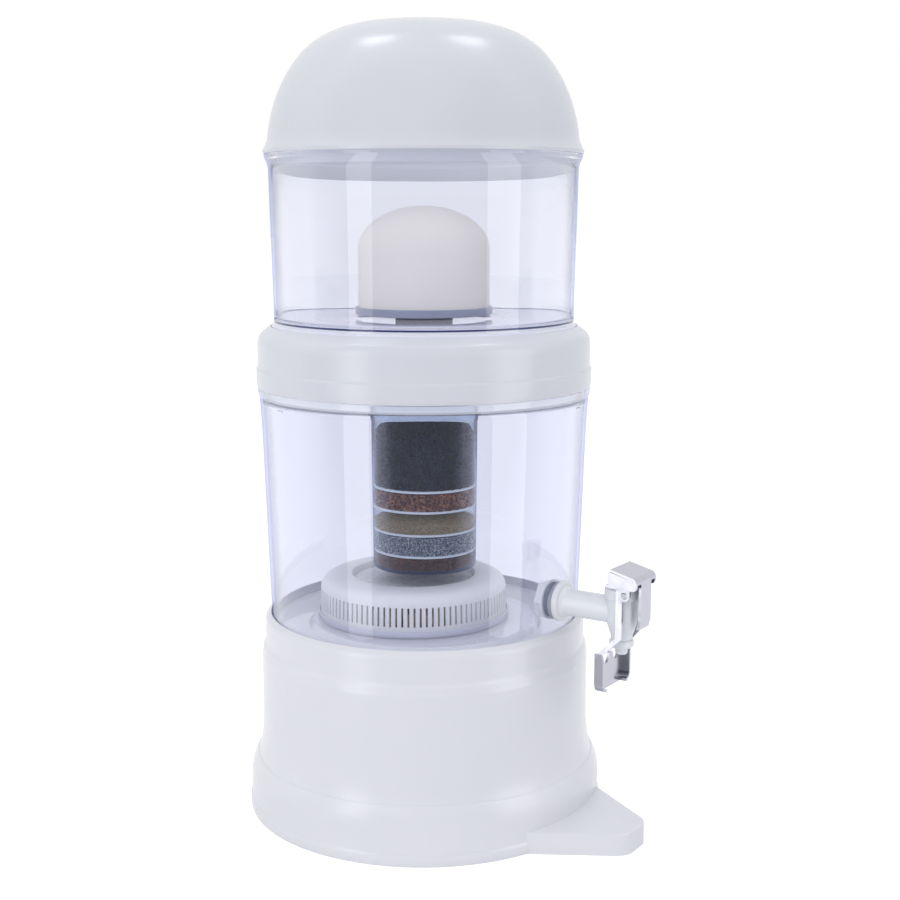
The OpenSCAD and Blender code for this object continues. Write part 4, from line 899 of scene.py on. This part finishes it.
hood = plate([*hood_line, *shifted(hood_line, -metal_t)[::-1]], -cheek_x - metal_t, cheek_x + metal_t)
front = plate([*front_line, *shifted(front_line, -metal_t)[::-1]], -flap_w / 2, flap_w / 2)
cheek_line = [*hood_line, (hood_front_y, cheek_low + 3), (hood_front_y + 0.9, cheek_low + 0.9),
              (hood_front_y + 3, cheek_low), (hood_back_y, cheek_low)]
cheek = plate(cheek_line, cheek_x, cheek_x + metal_t)
lug = along_pin(rod(lug_r, 0, metal_t, 48), cheek_x)
lug_top = plate(oblong(pin_y - lug_r, pin_z, pin_y + lug_r, cheek_low + 1), cheek_x, cheek_x + metal_t)
arm = plate(oblong(arm_y - arm_w / 2, arm_low, arm_y + arm_w / 2, cheek_low + 1),
            cheek_x, cheek_x + metal_t)
flare_y = paddle_y - paddle_flange / 2 - arm_w / 2
flare = slanted_bar((paddle_x - metal_t, flare_y, flare_z - 0.4),
                    (cheek_x, arm_y - arm_w / 2, arm_low + 0.4), (metal_t, arm_w))
flange_line = [
    (paddle_y - paddle_flange, paddle_low + paddle_corner), (paddle_y, paddle_low + paddle_corner),
    (paddle_y, flare_z + 0.5), (flare_y + 0.3, flare_z + 0.5), (paddle_y - paddle_flange, flare_z - 4)]
flange = plate(flange_line, paddle_x - metal_t, paddle_x)
corner = turned(oblong(paddle_corner - metal_t, 0, paddle_corner, paddle_flange), 96)
corner_place = ((paddle_x - paddle_corner) * MM, paddle_y * MM, (paddle_low + paddle_corner) * MM)
corner.transform(Matrix.Translation(corner_place) @ Matrix.Rotation(math.pi / 2, 4, "X"))
quarter = prism(oblong(paddle_x - paddle_corner, paddle_y - paddle_flange - 1, paddle_x + 1, paddle_y + 1),
                paddle_low - 1, paddle_low + paddle_corner + 0.02)
corner = combined(corner, [quarter], "INTERSECT")


def paddle_edge():
    """The paddle's outline: round lower corners and a crown cut into its upper edge."""
    right = [(0, paddle_low)]
    centre = (paddle_x - paddle_corner, paddle_low + paddle_corner)
    right += [(centre[0] + paddle_corner * math.cos(a), centre[1] + paddle_corner * math.sin(a))
              for a in (math.radians(-90 + 9 * i) for i in range(11))]
    crown = [(12.9, 0), (12.2, 2.2), (10.5, 5.6), (9.2, 6.8), (7.5, 7), (5.6, 6.8), (4.4, 5.8),
             (2.4, 0.4), (1.8, 0)]
    right += [(paddle_x, paddle_top), *((x, paddle_top - cut) for x, cut in crown)]
    return [*right, *((-x, z) for x, z in right[:0:-1])]


paddle = prism(paddle_edge(), 0, metal_t)
paddle.transform(Matrix.Translation((0, paddle_y * MM, 0)) @ Matrix.Rotation(math.pi / 2, 4, "X"))
slot_end = [(fork_slot * math.cos(a), tap_y - fork_slot * math.sin(a))
            for a in (math.radians(15 * i) for i in range(13))]
fork_line = [(-fork_x, fork_front_y), (fork_x, fork_front_y), (fork_x, fork_back_y),
             (fork_slot, fork_back_y), *slot_end, (-fork_slot, fork_back_y), (-fork_x, fork_back_y)]
fork = prism(fork_line, fork_z, fork_z + fork_t)
halves = [cheek, lug, lug_top, arm, flare, flange, corner]
lever_mesh = combined(hood, [front, fork, paddle, *halves, *map(mirrored, halves)], "UNION")
lever_mesh = combined(lever_mesh, [along_pin(rod(pin_r, -40, 40, 32))], "DIFFERENCE")
lever = piece("tap_lever_pressing", lever_mesh, bright_chrome, "tap_lever", "chrome", "tap_lever", crease=35)
pressed_edge = lever.modifiers.new("pressed_edge", "BEVEL")
pressed_edge.width, pressed_edge.segments = 0.5 * MM, 2
pressed_edge.limit_method, pressed_edge.angle_limit = "ANGLE", math.radians(38)

# ------------------------------------------------------------------- collar
# The collar is a white ABS ring. It drops over the lower tank's neck and has a seat for the
# upper tank, with a ribbed ledge below that leaves room for the cartridge.
collar_white = moulded_white("moulded_abs_collar", "#DBDCE4", "#D5D8E0", lets_through=0.4)
collar_h, collar_r, collar_band_r, collar_band_h, collar_shoulder_h = 46.5, 128.2, 129.3, 14.0, 15.0
seat_depth, collar_hole_r, collar_wall, collar_lip_h, collar_skirt_low = 3.5, 104.0, 2.5, 12.0, 10.0
collar_ribs, collar_rib_t, lift_gap, up_foot_r = 16, 2.0, 0.4, 117.0
collar_bore, seat_r, collar_skirt_r = neck_r + lift_gap, up_foot_r + lift_gap, neck_r - tank_wall - lift_gap
collar_seat = collar_h - seat_depth
collar_line = [
    (collar_bore, 0), (collar_band_r - 0.6, 0), (collar_band_r, 4), (collar_band_r, collar_band_h),
    (collar_r, collar_band_h + 1.5), (collar_r, collar_h - collar_shoulder_h),
    *bend((collar_r, collar_h - collar_shoulder_h), (collar_r, collar_h - 7),
          (seat_r + 6, collar_h - 4.2), 12),
    (seat_r + 0.8, collar_h), (seat_r, collar_h - 0.5), (seat_r, collar_seat), (collar_hole_r, collar_seat),
    (collar_hole_r, collar_seat - collar_lip_h), (collar_hole_r + collar_wall, collar_seat - collar_lip_h),
    (collar_hole_r + collar_wall, collar_seat - collar_wall),
    (collar_skirt_r - collar_wall, collar_seat - collar_wall),
    (collar_skirt_r - collar_wall, collar_skirt_low), (collar_skirt_r, collar_skirt_low),
    (collar_skirt_r, collar_seat - collar_wall - 0.8), (collar_bore, neck_h + 10)]
collar_mesh = turned(rounded(raised(collar_line, bead_z), 0.6), 360)
collar_rib_in, collar_rib_out = collar_hole_r + 1, collar_skirt_r - 1
ribs = []
for i in range(collar_ribs):
    rib = prism(oblong(collar_rib_in, -collar_rib_t / 2, collar_rib_out, collar_rib_t / 2),
                bead_z + collar_seat - collar_lip_h, bead_z + collar_seat - collar_wall / 2)
    rib.transform(Matrix.Rotation(2 * math.pi * (i + 0.5) / collar_ribs, 4, "Z"))
    ribs.append(rib)
piece("collar_moulding", combined(collar_mesh, ribs, "UNION"), collar_white, "collar", "white_plastic",
      "collar")

# --------------------------------------------------------------- upper tank
# The upper tank is the same clear SAN as the lower one, with a thick floor, a foot that stands
# in the collar's seat, and a rim that carries the lid. The dark line at the floor's edge is
# painted shade: a navy band drawn into the colour just under the floor's top.
up_low_r, up_top_r, up_rim_r, stem_r = 115.2, 117.5, 120.5, 8.0
# The last number on the next line is the height of the painted shade line at the floor's edge.
up_h, up_foot_h, up_rim_h, painted_edge_line_mm = 132.0, 5.0, 3.0, 1.2
up_z, up_floor, rim_z = bead_z + collar_seat, up_foot_h + floor_t, up_h - up_rim_h
up_in_r, floor_top = up_low_r - tank_wall, up_z + up_floor
up_line = [
    (stem_r + loose_gap, up_foot_h), (up_foot_r - 4, up_foot_h), (up_foot_r - 4, 0), (up_foot_r, 0),
    (up_foot_r, up_foot_h - 1.5), (up_low_r, up_foot_h - 0.3), (up_low_r, up_floor + 14),
    (up_top_r, rim_z - 8), (up_top_r + 0.8, rim_z - 4), (up_rim_r - 0.4, rim_z), (up_rim_r, rim_z + 0.8),
    (up_rim_r, up_h), (up_top_r - tank_wall, up_h), (up_top_r - tank_wall, rim_z - 8),
    (up_in_r, up_floor + 14), (up_in_r, up_floor + 3),
    *bend((up_in_r, up_floor + 3), (up_in_r, up_floor), (up_in_r - 3, up_floor), 6),
    (stem_r + loose_gap, up_floor)]
up_mesh = turned(rounded(raised(up_line, up_z), 0.7), 360)
# The navy band under the floor's top is painted shade, standing in for the dark line at the floor's edge.
clear_up = clear_plastic("clear_san_upper_tank", "#F6F7FE", "#5C64C8", 4.5,
                         [(up_z - 0.5, floor_top - painted_edge_line_mm - 1.0, "#E6E8F4", "#606060"),
                          (floor_top - painted_edge_line_mm - 0.4, floor_top - 0.4, "#333C6C", "#606060"),
                          (floor_top - 0.1, floor_top + 0.1, "#E6E8F4", "#606060")])
piece("upper_tank_moulding", up_mesh, clear_up, "upper_tank", "clear_plastic", "upper_tank", crease=28)

# ------------------------------------------------------------- ceramic dome
# The dome is fired diatomite ceramic, off-white and chalky, glued into a blue-grey plastic
# plate whose threaded stem goes down through the tank's floor. Its real pores are thousandths
# of a millimetre wide, and are drawn coarser, as a fine grain.
fired_ceramic, tree, shader, place = start_material("fired_diatomite_ceramic")
pore_mm, kiln_mm = 0.9, 30
pores = add(tree, "TexNoise", {
    "Vector": place, "Scale": 1 / (pore_mm * MM), "Detail": 4.0, "Roughness": 0.65})
kiln = add(tree, "TexNoise", {"Vector": place, "Scale": 1 / (kiln_mm * MM), "Detail": 2.0})
chalk = add(tree, "Mix", {"Factor": kiln.outputs["Fac"], "A": linear("#FAF8F5"), "B": linear("#F3F0EE")},
            data_type="RGBA")
speck = add(tree, "Mix", {
    "Factor": pores.outputs["Fac"], "A": chalk.outputs["Result"], "B": linear("#E8E4E0")},
    data_type="RGBA")
tree.links.new(speck.outputs["Result"], shader.inputs["Base Color"])
shader.inputs["Roughness"].default_value = 0.6
relief = add(tree, "Bump", {"Height": pores.outputs["Fac"], "Strength": 0.25, "Distance": 0.15 * MM})
tree.links.new(relief.outputs["Normal"], shader.inputs["Normal"])

washer_t, plate_t, plate_lip_h = 1.5, 3.0, 4.5
dome_r, dome_straight, dome_cap, dome_wall = 50.5, 50.0, 35.0, 6.0
plate_z = floor_top + washer_t
dome_z = plate_z + plate_t


def dome_outline(radius, low, straight, cap):
    """The side and the elliptical top of a dome, from its foot up to the axis."""
    side = [(radius, low + straight * i / 4) for i in range(5)]
    return side + [(radius * math.cos(a), low + straight + cap * math.sin(a))
                   for a in (math.radians(4.5 * i) for i in range(1, 20))] + [(0, low + straight + cap)]


dome_outer = dome_outline(dome_r, dome_z, dome_straight, dome_cap)
dome_inner = dome_outline(dome_r - dome_wall, dome_z, dome_straight, dome_cap - dome_wall)
dome_line = [*dome_outer, *dome_inner[::-1]]
piece("ceramic_dome", turned(dome_line, 256), fired_ceramic, "upper_tank", "ceramic", "dome_shell")

# The plate is injection moulded in blue-grey polypropylene with a soft gloss.
swirl_mm = 12
slate_pp = mottled("blue_grey_polypropylene", swirl_mm, 3.0, "#A4A9BE", "#8C92AE", {"Roughness": 0.3})
lip_r, lip_top, stem_bore_r = dome_r + loose_gap, plate_t + plate_lip_h, 4.0
cap_top, cup_depth = up_z + up_foot_h - 2, 26
cup_floor = cap_top - cup_depth
plate_line = [
    (stem_bore_r, cup_floor + washer_t), (stem_r, cup_floor + washer_t), (stem_r, plate_z),
    *raised([(lip_r + 1.6, 0), (lip_r + 2, 0.5), (lip_r + 2, lip_top - 0.6), (lip_r + 1.4, lip_top),
             (lip_r, lip_top), (lip_r, plate_t), (stem_bore_r, plate_t)], plate_z)]
piece("dome_plate", turned(rounded(plate_line, 0.5), 256), slate_pp, "upper_tank", "blue_plastic",
      "dome_base")

# ---------------------------------------------------------------- cartridge
# The cartridge screws to the dome's stem: a navy cap, a blue-tinted clear tube, a sieve
# plate, and five layers of media with pale fibre pads between them.
navy_mm = 20
navy_abs = mottled("moulded_navy_abs", navy_mm, 1.0, "#2C3963", "#253156", {"Roughness": 0.28})
cap_h, cap_wall, cup_floor_t, socket_h = 48.0, 2.0, 3.0, 18.0
cart_top_r, cart_low_r, cart_wall, cart_l = 42.0, 40.5, 1.0, 189.0
cap_in_r = cart_top_r + loose_gap
cap_r, cart_z = cap_in_r + cap_wall, cap_top - cart_l
tube_top = cup_floor - cup_floor_t - washer_t
cap_line = [
    (stem_bore_r, cup_floor - cup_floor_t), (cap_in_r, cup_floor - cup_floor_t),
    (cap_in_r, cap_top - cap_h), (cap_r, cap_top - cap_h), (cap_r, cap_top - 1), (cap_r - 1, cap_top),
    (cap_r - cap_wall, cap_top), (cap_r - cap_wall, cup_floor), (stem_r + 5, cup_floor),
    (stem_r + 5, cup_floor + socket_h), (stem_r + run_gap, cup_floor + socket_h),
    (stem_r + run_gap, cup_floor), (stem_bore_r, cup_floor)]
piece("cartridge_cap_moulding", turned(rounded(cap_line, 0.5), 192), navy_abs, "upper_tank",
      "blue_plastic", "cartridge_cap")
dress(navy_abs, "cartridge_bottom")

# The tube is extruded clear plastic with a blue tint, which deepens where the eye looks along
# its wall, and tapers a little towards its foot.
blue_tube = clear_plastic("blue_clear_tube", "#E1E9F4", "#3B5F9A", 50.0)
tube_line = [
    (cart_low_r - cart_wall, cart_z), (cart_low_r - 0.8, cart_z), (cart_low_r, cart_z + 1.5),
    (cart_top_r, tube_top), (cart_top_r - cart_wall, tube_top)]
piece("cartridge_tube_moulding", turned(rounded(tube_line, 0.4), 256), blue_tube, "upper_tank",
      "tube_plastic", "cartridge_tube", crease=28)


def tube_bore(z):
    """The tube's inner radius at a height."""
    return cart_low_r - cart_wall + (cart_top_r - cart_low_r) * (z - cart_z) / (tube_top - cart_z)


sieve_t, sep_t, mineral_h, zeolite_h, sand_h, red_h, carbon_h = 3.0, 1.8, 9.7, 15.1, 16.2, 14.0, 50.0
mineral_z = cart_z + sieve_t
zeolite_z = mineral_z + mineral_h + sep_t
sand_z = zeolite_z + zeolite_h + sep_t
red_z = sand_z + sand_h + sep_t
carbon_z = red_z + red_h + sep_t

# The separators are discs of pale polyester felt. Its fibres are a fiftieth of a millimetre
# thick, and its nap is drawn coarser, so that it shows.
nap_mm = 0.9
pale_felt = mottled("pale_polyester_felt", nap_mm, 4.0, "#FCFDFF", "#EEF2F7", {"Roughness": 0.95})


def together(meshes):
    """One mesh of several, which stay apart in it."""
    made = bmesh.new()
    for mesh in meshes:
        made.from_mesh(mesh)
    whole = bpy.data.meshes.new("shapes")
    made.to_mesh(whole)
    made.free()
    return whole


discs = []
for z in (mineral_z + mineral_h, zeolite_z + zeolite_h, sand_z + sand_h, red_z + red_h):
    r = tube_bore(z) - loose_gap / 2
    discs.append(turned(rounded(oblong(0, z, r, z + sep_t), 0.5), 160))
piece("separator_felts", together(discs), pale_felt, "upper_tank", "pad_fibre", "separator_pads")

# The media are loose grains in five layers. Each kind has a grain of its own size, in mm, and a
# mixture of shades, and a layer with room above it lies in a heap.


def grains(low, high, size, heap, seed, sides="rock", crown=True):
    """A layer of loose grains against the tube's wall: a plain core with separate grains round
    its side and, where its top shows, over its heap. Heap is how much lower the layer lies at
    the wall than in the middle."""
    dice = random.Random(seed)
    ball = bmesh.new()
    bmesh.ops.create_icosphere(ball, subdivisions=1 if sides == "rock" else 2, radius=1.0)
    shape = [v.co.copy() for v in ball.verts]
    faces = [[v.index for v in f.verts] for f in ball.faces]
    ball.free()
    points, polygons = [], []
    half, row_step, loose_turn, hummock_mm = size * 0.55, 0.86, 0.35, 5

    def heap_height(r, angle):
        """The height of the heap at a place, with small hummocks in it."""
        fall = heap * (r / tube_bore(high)) ** 2
        spot = Vector((math.cos(angle) * r / hummock_mm, math.sin(angle) * r / hummock_mm, seed))
        return high - fall + 1.1 * size * noise.noise(spot)

    def put(x, y, z):
        """One grain, turned, sized and roughened at random."""
        tipped = Matrix.Rotation(dice.uniform(0, 6.28), 3, "X")
        turn = tipped @ Matrix.Rotation(dice.uniform(0, 6.28), 3, "Z")
        across = size * dice.uniform(0.42, 0.6) * MM
        first = len(points)
        for corner in shape:
            rough = 1 + (dice.uniform(-0.22, 0.22) if sides == "rock" else 0)
            spot = turn @ (corner * across * rough)
            points.append((spot.x + x * MM, spot.y + y * MM, spot.z + z * MM))
        polygons.extend([first + i for i in face] for face in faces)

    levels = max(2, int((high - heap - low) / (size * row_step)))
    for k in range(levels + int(heap / size)):
        z = low + size * (0.5 + row_step * k)
        r = tube_bore(z) - loose_gap - half
        around = int(2 * math.pi * r / size)
        for i in range(around):
            a = 2 * math.pi * (i + dice.uniform(-loose_turn, loose_turn)) / around
            if z + size * 0.3 < heap_height(r, a):
                put(r * math.cos(a), r * math.sin(a), z + dice.uniform(-0.3, 0.3) * size)
    if crown:
        rings = int(tube_bore(high) / (size * 0.9))
        for k in range(rings):
            r = (tube_bore(high) - loose_gap - half) * k / (rings - 1)
            around = max(1, int(2 * math.pi * r / size))
            for i in range(around):
                a = 2 * math.pi * (i + dice.uniform(-loose_turn, loose_turn)) / around
                put(r * math.cos(a), r * math.sin(a), heap_height(r, a) - half)
    mesh = bpy.data.meshes.new("grains")
    mesh.from_pydata(points, [], polygons)
    core_r = tube_bore(low) - loose_gap - size
    top = high - heap - size * 0.8
    core_line = [(0, low), (core_r, low), (core_r, top), (core_r * 0.6, top + heap * 0.55),
                 (0, top + heap * 0.8)]
    return together([mesh, turned(core_line, 96)])


def loose_grains(name, shades, roughness, glint=0.15):
    """Loose mineral grains: each grain has a shade of its own, and their faces are dry and matt
    with dust in places. Real dust is far finer, and its patches are drawn coarser."""
    material, tree, shader, place = start_material(name)
    grain = add(tree, "NewGeometry").outputs["Random Per Island"]
    shade = add(tree, "ValToRGB", {"Fac": grain})
    ramp = shade.color_ramp
    ramp.interpolation = "CONSTANT"
    ramp.elements[0].color = linear(shades[0])
    ramp.elements[1].position, ramp.elements[1].color = 1 / len(shades), linear(shades[1])
    for i, colour in enumerate(shades[2:], 2):
        ramp.elements.new(i / len(shades)).color = linear(colour)
    dust_mm = 0.7
    dust = add(tree, "TexNoise", {"Vector": place, "Scale": 1 / (dust_mm * MM), "Detail": 2.0})
    thin = add(tree, "MapRange", {"Value": dust.outputs["Fac"], "To Max": 0.4})
    dusty = add(tree, "Mix", {
        "Factor": thin.outputs["Result"], "A": shade.outputs["Color"], "B": linear(shades[0])},
        data_type="RGBA")
    tree.links.new(dusty.outputs["Result"], shader.inputs["Base Color"])
    shader.inputs["Roughness"].default_value = roughness
    shader.inputs["Specular IOR Level"].default_value = glint
    return material


# Crushed coconut-shell carbon, all but black, in a heap that has settled. Its blue gleam is
# painted sheen, drawn into the navy shades of its grains.
carbon_mm, carbon_heap, carbon_settled = 2.2, 8.5, 2.2
carbon_grain = loose_grains("crushed_carbon", ["#161D36", "#0F1528", "#232C4C", "#3C4870", "#141B32"], 0.5)
carbon_mesh = grains(carbon_z, carbon_z + carbon_h - carbon_settled, carbon_mm, carbon_heap, seed=11)
piece("carbon_layer", carbon_mesh, carbon_grain, "upper_tank", "carbon", "media_carbon", crease=20)

# Fired clay balls, brick red to pink and all of one size.
red_mm = 1.7
red_grain = loose_grains(
    "fired_red_balls", ["#6A3C3C", "#A86850", "#74453F", "#4A2C34", "#BE8A70", "#96645C"], 0.7)
red_mesh = grains(red_z, red_z + red_h, red_mm, heap=0.0, seed=12, sides="ball", crown=False)
piece("red_ball_layer", red_mesh, red_grain, "upper_tank", "red_balls", "media_red", crease=60)

# Washed silica sand, buff with paler and browner grains, in a heap that has settled.
sand_mm, sand_heap, sand_settled = 1.2, 6.0, 3.2
sand_grain = loose_grains(
    "silica_sand", ["#A09078", "#C8B084", "#8C8060", "#B48A74", "#E0D4B8", "#A89878"], 0.8)
sand_mesh = grains(sand_z, sand_z + sand_h - sand_settled, sand_mm, sand_heap, seed=13)
piece("sand_layer", sand_mesh, sand_grain, "upper_tank", "sand", "media_sand", crease=20)

# Crushed zeolite, white and slate grey.
zeolite_mm = 1.5
zeolite_grain = loose_grains(
    "white_zeolite", ["#767E8C", "#545C6C", "#F6F8FC", "#848C9A", "#465060", "#E6EAF0", "#929AA8"], 0.8)
zeolite_mesh = grains(zeolite_z, zeolite_z + zeolite_h, zeolite_mm, heap=0.0, seed=14, crown=False)
piece("zeolite_layer", zeolite_mesh, zeolite_grain, "upper_tank", "zeolite", "media_zeolite", crease=20)

# Mineral sand, dark plum with rusty grains.
mineral_mm = 1.3
mineral_grain = loose_grains(
    "mineral_sand", ["#4C343C", "#8A4A44", "#3A2E38", "#6A5A60", "#A0645A"], 0.75)
mineral_mesh = grains(mineral_z, mineral_z + mineral_h, mineral_mm, heap=0.0, seed=15, crown=False)
piece("mineral_layer", mineral_mesh, mineral_grain, "upper_tank", "mineral_sand", "media_mineral",
      crease=20)

# ---------------------------------------------------------------------- lid
# The lid is a white ABS shell with a rolled edge. It rests on the upper tank's rim, and a
# short ring under it keeps it in the middle of the tank's mouth.
lid_white = moulded_white("moulded_abs_lid", "#D8D9E1", "#D2D5DD", lets_through=0.9)
lid_z, lid_h, lid_edge_r, lid_wall, lid_ring_h = up_z + up_h, 96.0, 121.4, 2.5, 8.0
crown_end, side_end = (48, lid_h - 1.2), (lid_edge_r - 3.6, 10)
shoulder_end = (lid_edge_r - 28.4, lid_h - 24.4)
lid_outer = [
    (0, lid_h), *bend((0, lid_h), (41, lid_h), crown_end, 8),
    *bend(crown_end, (78, lid_h - 6.5), shoulder_end, 16),
    *bend(shoulder_end, (lid_edge_r - 7.4, lid_h / 2 - 1), side_end, 16)]
lid_ring_r = up_top_r - tank_wall - lift_gap
lid_line = [*lid_outer, (lid_edge_r - 1.2, 4.2), (lid_edge_r, 2.7), (lid_edge_r, 0.5), (lid_edge_r - 0.5, 0),
            (lid_ring_r, 0), (lid_ring_r, -lid_ring_h), (lid_ring_r - 2, -lid_ring_h), (lid_ring_r - 2, 3),
            *shifted(lid_outer, lid_wall)[::-1]]
piece("lid_moulding", turned(rounded(raised(lid_line, lid_z), 0.5), 360), lid_white, "lid",
      "white_plastic", "lid")
